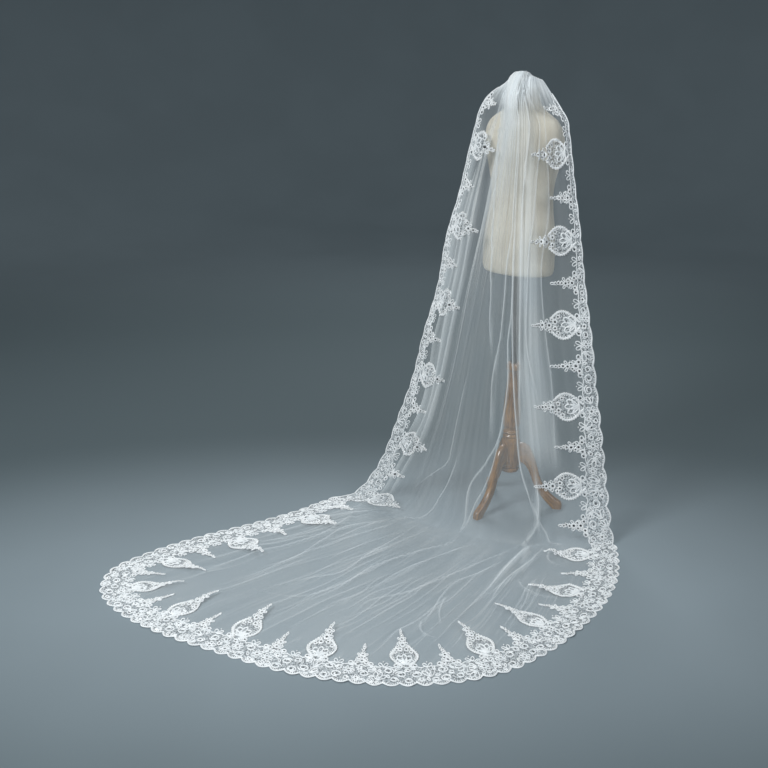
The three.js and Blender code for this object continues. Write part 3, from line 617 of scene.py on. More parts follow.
edgeRuns = {-1: edgeRun(-1), 1: edgeRun(1)}
sideLength = {side: edgeRuns[side][1][-1] for side in edgeRuns}
sideStep = {
    -1: (sideLength[-1] - hemShape["plain"]) / hemShape["leftSteps"],
    1: (sideLength[1] - hemShape["plain"]) / hemShape["rightSteps"],
}


def sideDepth(side, u):  # scallops get deeper down the side
    top, low = hemShape["topDepth"], hemShape["depth"]
    return top + (low - top) * np.clip(u / sideLength[side], 0, 1) ** 2


def sideInset(side, u):
    along, depth = u - hemShape["plain"], sideDepth(side, u)
    return np.where(along > 0, scallopInset(along, sideStep[side], hemShape["sideScallops"], depth), depth)


# folds of the train on the floor: points from the landing outwards, height and half width, all in metres,
# and extra layers

foldTable = [
    ([(-.45, -.30), (-.36, -.474), (-.30, -.651), (-.33, -.892), (-.375, -1.082),
      (-.35, -1.25)], .011, .020, .5),
    ([(-.20, -.43), (-.276, -.604), (-.263, -.734), (-.235, -.891), (-.295, -1.078)], .009, .016, .4),
    ([(-.12, -.37), (-.087, -.536), (-.07, -.689), (-.049, -.843), (-.095, -.939),
      (-.163, -1.087)], .008, .014, .4),
    ([(.05, -.34), (.071, -.42), (.04, -.546), (.003, -.744), (.018, -.899), (-.027, -1.045),
      (-.19, -1.12)], .010, .013, .6),
    ([(.14, -.33), (.11, -.541), (.091, -.718), (.123, -.919)], .008, .015, .3),
    ([(.26, -.26), (.245, -.43), (.231, -.578), (.204, -.782), (.152, -.904), (.171, -.992),
      (.167, -1.116)], .010, .015, .5),
    ([(.285, -.36), (.288, -.51), (.273, -.626), (.297, -.717), (.346, -.831),
      (.387, -.966)], .009, .014, .5),
    ([(.285, -.22), (.326, -.39), (.371, -.557), (.401, -.696)], .020, .020, 2.2),
    ([(.33, -.20), (.362, -.322), (.391, -.523), (.47, -.733)], .014, .016, 1.2),
    ([(.36, -.20), (.40, -.285), (.45, -.28)], .010, .015, .5),
    ([(.40, -.46), (.46, -.50), (.52, -.496), (.57, -.46)], .007, .013, .4),
    ([(.34, -.86), (.40, -.92), (.46, -.90)], .006, .012, .3),
    ([(.30, -.70), (.36, -.80), (.423, -.857)], .006, .012, .3),
    ([(-.31, -.40), (-.37, -.55), (-.42, -.76), (-.44, -.95)], .007, .018, .3),
]
trainWaves = {
    "apex": (0.02, 0.85), "ripple": 0.0007, "swell": 0.0026, "lines": 62, "tip": 0.011, "tipReach": 0.055,
    "fan": 1.45, "flatStart": 5,  # metres of flat cloth to a radian, and where the train starts on it
}


def curveThrough(points, count):  # even points on a smooth curve
    points = np.asarray(points, float)
    run = runAlong(points)
    dense = smoothThrough(run, points, np.linspace(0, run[-1], count * 8))
    length = runAlong(dense)
    even = np.linspace(0, length[-1], count)
    return np.stack([np.interp(even, length, dense[:, i]) for i in range(points.shape[1])], -1)


def runOuts():  # the pleats run out along the floor for a way
    found = []
    for i, row in enumerate(pleatTable):
        crest = (row[0] + pleatEnds[i]) / 2000
        start = smoothSheet(np.array([crest]), np.array([1.0]))[0, 0, :2]
        share = i / (len(pleatTable) - 1)
        turn = 0.02 + 0.5 * share
        length = 0.16 + 0.26 * math.sin(math.pi * share)
        bend = 0.05 * (-1) ** i
        t = np.array([[0], [0.35], [0.7], [1]])
        way = turn + bend * t
        path = start + t * length * np.concatenate([np.sin(way), -np.cos(way)], axis=1)
        base = smoothSheet(np.array([row[0], pleatEnds[i]]) / 1000, np.array([1.0]))[0]
        width = np.linalg.norm(base[1] - base[0])
        found.append((path, veil["pleatShare"] * row[4] / 1000, 0.32 * width, 0.3))
    return found


def fineLines():  # faint straight lines of the net from the landing towards the hem
    found = []
    for turn in np.linspace(-0.46, 0.50, trainWaves["lines"]) + rng.normal(0, 0.006, trainWaves["lines"]):
        start, length = rng.uniform(1.2, 1.7), rng.uniform(0.3, 0.85)
        out = start + length * np.linspace(0, 1, 5)
        bent = turn + rng.normal(0, 0.02) * np.linspace(0, 1, 5) + rng.normal(0, 0.004, 5)
        path = np.array(trainWaves["apex"]) + np.stack([out * np.sin(bent), -out * np.cos(bent)], -1)
        found.append((path, rng.uniform(0.0012, 0.003), rng.uniform(0.009, 0.014), rng.uniform(0.15, 0.5)))
    return found


allFolds = [(curveThrough(path, 36), *rest) for path, *rest in runOuts() + foldTable + fineLines()]


def trainHeight(x, y):  # height of the net on the floor, and extra layers of it
    x, y = np.asarray(x, float), np.asarray(y, float)
    height, layers = np.zeros_like(x), np.zeros_like(x)
    spot = np.stack([x.ravel(), y.ravel()], -1)
    for k, (path, tall, wide, extra) in enumerate(allFolds):
        low, high = path.min(0) - 4 * wide, path.max(0) + 4 * wide
        near = np.nonzero(((spot > low) & (spot < high)).all(1))[0]
        if not len(near):
            continue
        gap = ((spot[near, None, :] - path[None]) ** 2).sum(-1)
        nearest = gap.argmin(1)
        t = nearest / (len(path) - 1)
        ends = np.minimum(1, (1 - t) * 2.2) * (1 if k < len(pleatTable) else smoothRamp(t, -0.05, 0.22))
        rise = ends * np.exp(-gap.min(1) / wide ** 2)
        height.ravel()[near] = np.maximum(height.ravel()[near], tall * rise)
        layers.ravel()[near] += extra * ends * np.exp(-gap.min(1) / (0.55 * wide) ** 2)
    angle = np.arctan2(x - trainWaves["apex"][0], trainWaves["apex"][1] - y)
    out = np.hypot(x - trainWaves["apex"][0], y - trainWaves["apex"][1])
    ripple = (np.sin(angle * 95 + 3 * np.sin(out * 5))
              + 0.7 * np.sin(angle * 57 + 2.2 * np.sin(out * 3.3 + 1))
              + 0.5 * np.sin(angle * 151 + 2.5 * np.sin(out * 7 + 2)))
    swell = np.sin(angle * 21 + 1.7 * np.sin(out * 4)) * np.sin(out * 7.5 + 2 * np.sin(angle * 9))
    wave = trainWaves["ripple"] * np.maximum(ripple, -0.2) + trainWaves["swell"] * np.maximum(swell, 0)
    wave = wave * smoothRamp(out, 1.08, 1.3)
    for tip in motifTips:  # points of the long motifs stand up a little
        gap = (x - tip[0]) ** 2 + (y - tip[1]) ** 2
        height = height + trainWaves["tip"] * np.exp(-gap / trainWaves["tipReach"] ** 2)
    return height + np.maximum(wave, 0), layers


# the hem of the train

hemPoints = np.array([
    (-526, -626), (-562, -829), (-608, -1017), (-637, -1208), (-621, -1375), (-528, -1470), (-404, -1502),
    (-204, -1488), (36, -1419), (302, -1319), (533, -1154), (683, -946), (729, -717), (704, -430),
    (649, -247), (582, -123),
]) / 1000


def centripetal(points, each):  # curve through points with knots by the root of their distance
    points = np.concatenate([[2 * points[0] - points[1]], points, [2 * points[-1] - points[-2]]])
    found = []
    for i in range(len(points) - 3):
        p = points[i:i + 4]
        knots = np.concatenate([[0], np.cumsum(np.linalg.norm(np.diff(p, axis=0), axis=1) ** 0.5)])
        t = np.linspace(knots[1], knots[2], each, endpoint=False)[:, None]

        def between(one, two, first, last):
            return ((knots[last] - t) * one + (t - knots[first]) * two) / (knots[last] - knots[first])

        lines = [between(p[j], p[j + 1], j, j + 1) for j in range(3)]
        bends = [between(lines[j], lines[j + 1], j, j + 2) for j in range(2)]
        found.append(between(*bends, 1, 2))
    return np.concatenate(found + [points[-2:-1]])


hemLine = centripetal(np.concatenate([hangTable[:1, 10:12], hemPoints, hangTable[-1:, 10:12]]), 60)
hemRun = runAlong(hemLine)
hemLength = hemRun[-1]
trainStep = hemLength / hemShape["trainSteps"]
hemTurn, hemSmoothing = 0.85, 0.4


def alongHem(along):
    return np.stack([np.interp(along, hemRun, hemLine[:, i]) for i in (0, 1)], -1)


def bandPoint(along, inward):  # a point of the train's lace band: along the hem, and in from it
    along = np.clip(along, 0, hemLength)
    point = alongHem(along)
    run = np.zeros_like(point)
    for i in range(-4, 5):
        near = np.clip(along + i * hemSmoothing / 4, 0.002, hemLength - 0.002)
        run += unit(alongHem(near + 0.002) - alongHem(near - 0.002))
    inwards = unit(leftOf(run))
    straight = point + inwards * inward[:, None]
    left = along < hemLength / 2
    across = np.where(left, -1, 1) * (veil["half"] - inward)
    end = smoothThrough(hangTable[:, 0], hangTable[:, 10:12], across)
    corner = end + point - np.where(left[:, None], hangTable[0, 10:12], hangTable[-1, 10:12])
    blend = smoothRamp(np.where(left, along, hemLength - along), 0, hemTurn)[:, None]
    return corner + (straight - corner) * blend


tipsAlong = (np.arange(1, hemShape["trainSteps"], 2) + 0.5) * trainStep
motifTips = bandPoint(tipsAlong, np.full(len(tipsAlong), 0.25))
print("hem on the floor", round(hemLength, 3), "m, side steps", {k: round(v, 4) for k, v in sideStep.items()})


# the tulle

grain = {  # points of the net: rows and columns of the fall, then spacing and gaps on the floor in metres
    "columns": 401, "topRows": 30, "lowRows": 122, "floorSpacing": 0.0104, "hemSpacing": 0.0055,
    "foldSpacing": 0.0085, "edgeGap": 0.0048, "foldGap": 0.005, "foldReach": 0.012,
}


def fallGrid():
    half, strip, shifted, shoulder = veil["half"], veil["strip"], hemShape["shifted"], veil["levels"][3]
    across = np.linspace(-half, half, grain["columns"])
    top = np.linspace(0, shoulder, grain["topRows"], endpoint=False)
    fallen = np.concatenate([top, np.linspace(shoulder, 1, grain["lowRows"])])
    inward = half - np.abs(across)
    ends = smoothSheet(np.array([-half, strip - half, half - strip, half]), fallen)
    place = np.zeros((len(fallen), len(across)))
    for side, outer, inner in ((-1, 0, 1), (1, 3, 2)):
        # the lace strip hangs flat, so the middle takes up the fullness
        width = np.linalg.norm(ends[:, outer] - ends[:, inner], axis=-1)[:, None]
        spread = np.clip(width / strip, veil["leastSpread"], 1)
        near = (np.sign(across) == side) | ((across == 0) & (side > 0))
        v = inward[near][None]
        turn = strip / spread
        rest = turn + (v - strip) * (half - turn) / (half - strip)
        place[:, near] = side * (half - np.where(v < strip, v / spread, rest))
        # near each edge the columns follow the scallops
        inset = sideInset(side, np.interp(fallen, *edgeRuns[side]))
        near = (np.sign(across) == side) & (inward < shifted)
        place[:, near] -= side * inset[:, None] * (1 - inward[near] / shifted)
    return across, fallen, place


def drape():
    across, fallen, place = fallGrid()
    crease, creaseLayers, draw = creases(place, fallen)
    place = np.clip(place + draw, -veil["half"], veil["half"])
    wide = np.linspace(-veil["half"], veil["half"], 1501)
    fine = smoothSheet(wide, fallen)
    over = np.gradient(fine, wide, axis=1)
    down = np.gradient(fine, fallen, axis=0)
    pick = (place + veil["half"]) / (wide[1] - wide[0])
    low = np.clip(pick.astype(int), 0, len(wide) - 2)
    part = (pick - low)[..., None]
    rows = np.arange(len(fallen))[:, None]

    def at(grid):
        return grid[rows, low] * (1 - part) + grid[rows, low + 1] * part

    base, over, down = at(fine), at(over), at(down)
    face = unit(np.cross(down, over))
    face[-1] = (0, 0, 1)
    number, share, folded = pleatValues(across)
    f = fallen[:, None]
    depths = np.stack([np.interp(fallen, pleatLevels, row[1:5]) for row in pleatTable], -1)
    depth = depths[:, number] / 1000 * folded * veil["pleatShare"]
    rise = np.sin(math.pi * share) ** 2
    late = 1 - smoothRamp(f, 0.86, 0.985)  # folds stand up straight where they land
    width = (pleatEnds[number] - pleatTable[number, 0]) / 1000
    pinch = 0.4 * pleatTable[number, 5] * late * folded
    wander = 0.22 * np.sin(f * (5 + number % 4) + number * 1.9) * smoothRamp(f, 0.13, 0.4) * late
    lean = (pleatTable[number, 6] + wander) * late * smoothRamp(f, 0.05, 0.25)
    aside = width * pinch * np.sin(2 * math.pi * share) / (2 * math.pi)
    sideways = unit(over)
    # gathers that run out of the comb
    gathers = np.interp(fallen, *veil["gathers"])[:, None]
    drift = 0.9 * np.sin(across * 23)[None] * f
    fineFold = gathers * (np.sin(2 * math.pi * across / 0.037 + 1.3 * drift)
                          + 0.6 * np.sin(2 * math.pi * across / 0.0233 + 2 + drift))
    inward = veil["half"] - np.abs(across)
    hanging = smoothRamp(f, 0.15, 0.35) * late
    flutter = veil["flutter"] * np.sin(f * 31 + across * 5) * hanging * np.exp(-(inward / 0.13) ** 2)
    sway = veil["sway"] * np.sin(f * 17 + across * 14) * hanging
    base = base + face * veil["lift"]
    lift = depth * rise + fineFold * (1 - 0.6 * (inward < veil["strip"])) + flutter + sway + crease
    points = base + face * lift[..., None] + over * aside[..., None]
    points = points + sideways * (lean * depth * rise)[..., None]
    floorHeight = trainHeight(points[..., 0], points[..., 1])[0]
    points[-1, :, 2] = np.maximum(points[-1, :, 2], floorHeight[-1] + veil["lift"])
    points[..., 2] = np.maximum(points[..., 2], veil["lift"])
    # part of the fullness shows as denser net, the rest lies in the creases
    fullness = np.interp(fallen, *veil["fullness"])[:, None]
    flatLayers = 1 + np.maximum(layersOf(base, across) - 1, 0) * fullness
    flatLayers += np.interp(fallen, *veil["crownLayers"])[:, None]
    tucks = fallTucks(place, fallen, points, face, sideways)
    return across, fallen, points, flatLayers + creaseLayers, face, tucks


def layersOf(points, across):  # how many thicknesses of flat net lie on each piece of surface
    acrossWay = np.gradient(points, axis=1)
    downWay = np.gradient(points, axis=0)
    made = np.linalg.norm(np.cross(downWay, acrossWay), axis=-1)
    cut = np.gradient(across)[None] * np.linalg.norm(downWay, axis=-1)
    return np.clip(cut / np.maximum(made, 1e-9), 0.75, veil["mostLayers"])


def tuckStrip(middle, up, side, flat, cover, size=1.0):  # a small fold of net that stands up along a line
    half, high = size * veil["tuckHalf"], size * veil["tuckHigh"]
    foot = middle + up * 0.0004
    points = np.stack([foot - side * half, middle + up * high, foot + side * half])
    flat = np.stack([flat - (half, 0), flat, flat + (half, 0)])
    return points, np.stack([0 * cover, cover, 0 * cover]), flat, np.tile(up, (3, 1, 1))


def fallTucks(place, fallen, points, face, sideways):
    found = []
    for path, _, wide, extra in creaseTable:
        if wide > veil["bandFrom"]:
            continue
        path = np.array(path)
        rows = np.nonzero((fallen >= path[0, 0]) & (fallen <= path[-1, 0]))[0]
        line = smoothThrough(path[:, 0], path[:, 1] / 1000, fallen[rows])
        column = np.array([np.interp(x, place[r], np.arange(place.shape[1])) for r, x in zip(rows, line)])
        c = np.clip(column.astype(int), 0, place.shape[1] - 2)
        part = (column - c)[:, None]
        middle, up, side = (grid[rows, c] * (1 - part) + grid[rows, c + 1] * part
                            for grid in (points, face, sideways))
        share = (fallen[rows] - path[0, 0]) / (path[-1, 0] - path[0, 0])
        fade = smoothRamp(share, 0, 0.2) * (1 - smoothRamp(share, 0.8, 1)) * (0.55 + 0.3 * min(extra, 2))
        flat = np.stack([line, 1.7 * fallen[rows]], -1)
        found.append(tuckStrip(middle, unit(up), unit(side), flat, veil["tuckCover"] * fade))
    return found


def floorFlat(spots):  # where spots on the floor lie on the flat cloth
    off = spots - trainWaves["apex"]
    fan = trainWaves["fan"] * np.arctan2(off[:, 0], -off[:, 1])
    return np.stack([fan, np.hypot(*off.T) + trainWaves["flatStart"]], -1)


def trainTucks(landing):
    found = []
    along = np.arange(0, hemLength, 0.03)
    outline = np.concatenate([landing[::8, :2], bandPoint(along, np.full(len(along), 0.13))[::-1]])
    for k, (path, _, _, extra) in enumerate(allFolds[len(pleatTable):]):
        main = k < len(foldTable)
        line = curveThrough(path, 64 if main else 44)
        kept = np.nonzero(insideOf(line, outline))[0]
        if len(kept) < 12:
            continue
        line = curveThrough(line[kept[0]:kept[-1] + 1], 64 if main else 36)
        way = unit(np.gradient(line, axis=0))
        side = np.column_stack([leftOf(way), np.zeros(len(way))])
        up = np.tile((0.0, 0.0, 1.0), (len(line), 1))
        middle = np.column_stack([line, trainHeight(line[:, 0], line[:, 1])[0] + veil["lift"]])
        share = np.linspace(0, 1, len(line))
        size, strength = (1.3, 0.6 + 0.25 * extra) if main else (1.2, 0.2 + 0.8 * extra)
        fade = smoothRamp(share, 0, 0.25) * (1 - smoothRamp(share, 0.6, 1)) * strength
        found.append(tuckStrip(middle, up, side, floorFlat(line), veil["tuckCover"] * fade, size))
    return found


def insideOf(spots, outline):
    inside = np.zeros(len(spots), bool)
    for (ax, ay), (bx, by) in zip(np.roll(outline, 1, axis=0), outline):
        crosses = (ay > spots[:, 1]) != (by > spots[:, 1])
        inside ^= crosses & (spots[:, 0] < (bx - ax) * (spots[:, 1] - ay) / (by - ay + 1e-15) + ax)
    return inside


def nearestGap(spots, others):  # distance from each spot to the nearest of the others
    tree = KDTree(len(others))
    for i, (x, y) in enumerate(others.tolist()):
        tree.insert((x, y, 0), i)
    tree.balance()
    return np.array([tree.find((x, y, 0))[2] for x, y in spots.tolist()])


def trainNet(points):
    landing = points[-1]
    along = np.arange(0, hemLength, grain["hemSpacing"])[1:]
    inset = scallopInset(along, trainStep, hemShape["trainScallops"], hemShape["depth"])
    outline = np.concatenate([landing[:, :2], bandPoint(along, inset)[::-1]])
    low, high = outline.min(0), outline.max(0)
    space = grain["floorSpacing"]
    xs = np.arange(low[0], high[0], space)
    ys = np.arange(low[1], high[1], space * 0.866)
    gridX, gridY = np.meshgrid(xs, ys)
    gridX[1::2] += space / 2
    spots = np.stack([gridX.ravel(), gridY.ravel()], -1)
    spots = spots[insideOf(spots, outline)]
    spots = spots[nearestGap(spots, outline) > grain["edgeGap"]]
    # closer points along the main folds
    lines = []
    for path, _, wide, _ in allFolds[len(pleatTable):len(pleatTable) + len(foldTable)]:
        length = np.linalg.norm(np.diff(path, axis=0), axis=1).sum()
        fine = curveThrough(path, int(length / grain["foldSpacing"]))
        aside = leftOf(unit(np.gradient(fine, axis=0)))
        lines += [fine + k * wide * aside for k in (-0.7, -0.35, 0, 0.35, 0.7)]
    lines = np.concatenate(lines)
    reach = grain["foldReach"]
    lines = lines[(nearestGap(lines, spots) < reach) & (nearestGap(lines, outline) > reach)]
    spots = np.concatenate([spots[nearestGap(spots, lines) > grain["foldGap"]], lines])
    corners = [Vector(p) for p in np.concatenate([outline, spots]).tolist()]
    found = delaunay_2d_cdt(corners, [], [list(range(len(outline)))], 1, 1e-6)
    return np.array([tuple(p) for p in found[0]]), [tuple(f) for f in found[2]], found[3], len(landing)


def makeTulle():
    across, fallen, points, layers, face, tucks = drape()
    columns = len(across)
    covers = [veil["netCover"], veil["netCover"], veil["floorCover"]]
    single = np.interp(fallen, [0, 0.88, 1], covers)[:, None]
    layers = 1 + (layers - 1) * (1 - 0.45 * smoothRamp(fallen, 0.8, 1))[:, None]
    cover = 1 - (1 - single) ** layers
    place, faces, origin, landingCount = trainNet(points)
    first = len(fallen) * columns
    lastRow = first - columns
    height, extra = trainHeight(place[:, 0], place[:, 1])
    # the fall's fullness dies out over the floor
    reach = np.linalg.norm(place[:, None] - points[-1, ::6, :2][None], axis=-1)
    onFloor = smoothRamp(reach.min(1), 0, 0.3)
    extra = extra + (layers[-1, ::6][reach.argmin(1)] - 1) * np.exp(-reach.min(1) / 0.16)
    floorCloth = floorFlat(place)
    index, newPoints, newCover, newFlat, newLines = [], [], [], [], []
    for i, given in enumerate(origin):
        if given and given[0] < landingCount:
            index.append(lastRow + given[0])
            continue
        index.append(first + len(newPoints))
        newPoints.append((place[i, 0], place[i, 1], height[i] + veil["lift"]))
        newCover.append(1 - (1 - veil["floorCover"]) ** (1 + extra[i]))
        newFlat.append(floorCloth[i])
        newLines.append(onFloor[i])
    turned = []
    for corners in faces:
        a, b, c = (place[k] for k in corners[:3])
        upward = (b[0] - a[0]) * (c[1] - a[1]) - (b[1] - a[1]) * (c[0] - a[0]) > 0
        turned.append(tuple(index[k] for k in (corners if upward else corners[::-1])))
    down = np.cumsum(np.linalg.norm(np.diff(points, axis=0), axis=-1), axis=0).mean(1)
    flat = np.stack(np.meshgrid(across, np.append(0, down)), -1).reshape(-1, 2)
    allFaces = gridFaces(len(fallen), columns) + turned
    tucks = tucks + trainTucks(points[-1])
    total = first + len(newPoints)
    for strip in tucks:
        allFaces += [f[::-1] for f in gridFaces(3, strip[0].shape[1], total)]
        total += strip[1].size
    stripPoints, stripCover, stripFlat, stripFace = (
        np.concatenate([strip[i].reshape(-1, size) for strip in tucks])
        for i, size in enumerate((3, 1, 2, 3)))
    allPoints = np.concatenate([points.reshape(-1, 3), newPoints, stripPoints])
    allFlat = np.concatenate([flat, newFlat, stripFlat])
    piece = meshPiece("tulleSheet", allPoints, allFaces, [tulleFinish], flat=allFlat)
    pointValues(piece, "cover", np.concatenate([cover.ravel(), newCover, stripCover.ravel()]))
    pointValues(piece, "onFloor", np.concatenate([np.zeros(first), newLines, np.zeros(len(stripPoints))]))
    # net scatters light all ways, so its shading follows the sheet more than each small fold
    own = np.empty(3 * len(piece.data.vertices), dtype=np.float32)
    piece.data.vertices.foreach_get("normal", own)
    even = np.concatenate([face.reshape(-1, 3), np.tile((0.0, 0.0, 1.0), (len(newPoints), 1)), stripFace])
    shaded = unit(veil["evenShade"] * even + (1 - veil["evenShade"]) * own.reshape(-1, 3))
    piece.data.normals_split_custom_set_from_vertices(shaded.tolist())
    print("tulle sheet", len(piece.data.vertices), "points,", len(piece.data.polygons), "faces")
    return piece, across, fallen, points


tulle, fallAcross, fallFallen, fallPoints = makeTulle()


# lace: drawn flat in metres, u along the hem and v in from it, then laid on the net

lace = {
    "cordHigh": 0.0013, "lift": 0.0011, "groundLift": 0.0006, "sequin": 0.0026, "pearl": 0.0020,
    "bandTop": 0.020, "bandFloor": 0.092, "bandPower": 2.2, "long": 0.194, "short": 0.104, "tries": 2600,
    "edgeCord": 0.0052, "fineCord": 0.0034, "pearCord": 0.0074, "petalCord": 0.0050,
    "sprigs": ((0.0185, 0.10), (0.0140, 0.2), (0.0105, 0.3), (0.0075, 0.4)),  # size, share of the tries
}


def sideFrame(side):
    fallen, lengths = edgeRuns[side]
    columns = np.nonzero(np.sign(fallAcross) == side)[0]
    inward = veil["half"] - np.abs(fallAcross[columns])
    order = np.argsort(inward)
    columns, inward = columns[order], inward[order]
    down = np.gradient(fallPoints, axis=0)
    over = np.gradient(fallPoints, axis=1)
    faces = unit(np.cross(down, over))
    faces[-1] = (0, 0, 1)

    def place(u, v):
        fall = np.interp(u, lengths, fallen)
        row = np.interp(fall, fallFallen, np.arange(len(fallFallen)))
        # undo the scallop's shift of the columns
        inset, shifted = sideInset(side, u), hemShape["shifted"]
        flat = np.where(v < shifted, (v - inset) / (shifted - inset) * shifted, v)
        column = np.interp(flat, inward, np.arange(len(inward)))
        r = np.clip(row.astype(int), 0, len(fallFallen) - 2)
        c = np.clip(column.astype(int), 0, len(inward) - 2)
        dr, dc = (row - r)[:, None], (column - c)[:, None]

        def read(grid):
            left, right = columns[c], columns[c + 1]
            return ((grid[r, left] * (1 - dc) + grid[r, right] * dc) * (1 - dr)
                    + (grid[r + 1, left] * (1 - dc) + grid[r + 1, right] * dc) * dr)

        return read(fallPoints), unit(read(faces))

    return place


def trainPlace(u, v):
    spot = bandPoint(u, v)
    height = trainHeight(spot[:, 0], spot[:, 1])[0] + veil["lift"]
    up = np.zeros((len(spot), 3))
    up[:, 2] = 1
    return np.concatenate([spot, height[:, None]], axis=1), up


class LaceWork:
    def __init__(self):
        self.cords, self.grounds, self.sequins, self.pearls = [], [], [], []

    def cord(self, points, wide):
        self.cords.append((np.asarray(points, float), wide))

    def ground(self, rows):  # rows of points, each as long as the next
        self.grounds.append(np.asarray(rows, float))

    def sequin(self, u, v, size=1.0):
        self.sequins.append((u, v, lace["sequin"] * size))

    def pearl(self, u, v, size=1.0):
        self.pearls.append((u, v, lace["pearl"] * size))


def ring(u, v, radius, count=11, start=0.0, turn=1.0, grow=0.0, squash=1.0):
    t = np.linspace(0, 1, count + 1)
    angle = start + 2 * math.pi * turn * t
    r = radius * (1 + grow * t)
    return np.stack([u + r * np.cos(angle), v + squash * r * np.sin(angle)], -1)


def loop(u, v, length, wide, angle, count=10):  # closed leaf or petal from its root
    t = np.linspace(0, 1, count + 1)
    along = length * (1 - np.cos(2 * math.pi * t)) / 2
    aside = wide / 2 * np.sin(2 * math.pi * t) * (0.55 + 0.45 * (1 - np.cos(2 * math.pi * t)) / 2) * 1.25
    c, s = math.cos(angle), math.sin(angle)
    return np.stack([u + along * c - aside * s, v + along * s + aside * c], -1)


def flower(work, u, v, size, petals, start, cord):  # rosette with a sequin in it
    work.cord(ring(u, v, size * 0.30, 8), cord)
    for k in range(petals):
        angle = start + 2 * math.pi * k / petals
        root = u + size * 0.34 * math.cos(angle), v + size * 0.34 * math.sin(angle)
        work.cord(loop(*root, size * 0.66, size * 0.52, angle, 8), cord)
    work.sequin(u, v, 1.0)


def curl(work, u, v, radius, start, way, cord=0.0042):  # snail curl with a sequin in it
    work.cord(ring(u, v, radius, 20, start, way * 1.35, -0.62, 0.8), cord)
    work.sequin(u, v, 1.0)


def border(work, middle, wide, band, number, depth):  # the edge of one scallop
    half = wide / 2
    u = np.linspace(-half, half, 17)
    edge = depth * (1 - np.abs(np.cos(math.pi * u / wide)) ** 0.8)
    work.ground([np.stack([middle + u, edge + (band - edge) * t], -1) for t in np.linspace(0, 1, 6)])
    work.cord(np.stack([middle + u, edge + lace["edgeCord"] / 2], -1), lace["edgeCord"])
    for k in np.linspace(-0.36, 0.36, 7):
        if band > 0.034:
            work.pearl(middle + k * wide, 0.0066 + depth * (1 - abs(math.cos(math.pi * k)) ** 0.8), 0.8)
    top = band * (0.97 + 0.03 * np.cos(4 * math.pi * u / wide + number))
    work.cord(np.stack([middle + u, top], -1), lace["fineCord"])


# sprigs, curls and leaves packed side by side into the band
def fillBand(work, start, end, step, each, bandAt, depthAt):
    kept = np.zeros((0, 3))
    tries = int((end - start) * lace["tries"])
    for size, share in lace["sprigs"]:
        for u, v, turn, kind in rng.random((int(share * tries), 4)):
            at = start + u * (end - start)
            band = bandAt(at)
            low = 0.0075 + scallopInset(at - start, step, each, depthAt(at)) + 0.85 * size
            high = band - 0.003 - 0.85 * size
            if high < low:
                continue
            deep = low + v * (high - low)
            gaps = np.hypot(kept[:, 0] - at, kept[:, 1] - deep)
            if (gaps < 0.97 * (kept[:, 2] + size)).any():
                continue
            kept = np.vstack([kept, (at, deep, size)])
            angle, way = turn * 2 * math.pi, 1 if kind * 97 % 1 < 0.5 else -1
            root = at - size * math.cos(angle), deep - size * math.sin(angle)
            if size < 0.009:
                if kind < 0.2:
                    work.cord(ring(at, deep, size * 0.7, 8), lace["fineCord"])
                    work.pearl(at, deep, 1.0)
                else:
                    work.cord(loop(*root, 2.1 * size, size, angle, 9), 0.0036)
            elif kind < 0.45:
                curl(work, at, deep, size * 0.95, angle, way, 0.0030 + 0.07 * size)
            elif kind < 0.72:
                flower(work, at, deep, size * 1.02, 5 if size < 0.012 else 6, angle, 0.0030)
            else:
                for side, long in ((-0.55, 1.9), (0, 2.0), (0.55, 1.9)):
                    work.cord(loop(*root, long * size, 0.72 * size, angle + side, 10), 0.0032)
                work.sequin(at, deep, 0.9)


def backing(work, middle, outline, count):  # ground between an outline and its mirror image
    sides = np.linspace(-1, 1, count)
    work.ground([np.stack([middle + outline[:, 0] * s, outline[:, 1]], -1) for s in sides])


def mirrored(work, middle, shape, wide):
    for side in (-1, 1):
        work.cord(np.stack([middle + side * shape[:, 0], shape[:, 1]], -1), wide)


def halfWidths(table, reach, root, count):
    table = np.array(table)
    t = np.linspace(table[0, 0], table[-1, 0], count)
    return np.stack([smoothThrough(table[:, 0], table[:, 1], t), root + reach * t], -1)


# half widths of the motifs: share of the reach, and metres
pearShape = [(0, .0085), (.05, .0165), (.12, .0300), (.21, .0425), (.31, .0470), (.40, .0430), (.48, .0320),
             (.54, .0215)]
sprigShape = [(0, .0230), (.12, .0215), (.30, .0170), (.48, .0120)]
# florets of the motifs: share of the reach, place aside and size in millimetres
longFlorets = [(.40, 29, 9), (.46, 12, 10.5), (.53, 20, 8.5), (.585, 0, 12.5), (.655, 7.5, 7.5),
               (.72, 0, 10.5), (.79, 0, 9), (.85, 0, 7.5), (.905, 0, 6)]
shortFlorets = [(.08, 17, 10), (.19, 0, 12), (.31, 9.5, 8.5), (.44, 0, 11), (.57, 0, 9), (.69, 0, 7.5),
                (.80, 0, 6.5)]


def floret(work, u, v, size, start):  # thick ring round a sequin coloured near black as a painted reflection, with beads outside
    work.cord(ring(u, v, 0.62 * size, 9), 0.54 * size)
    work.sequin(u, v, 0.33 * size / lace["sequin"])
    for k in range(5):
        angle = start + 2 * math.pi * k / 5
        work.pearl(u + 0.98 * size * math.cos(angle), v + 0.98 * size * math.sin(angle), 0.85)


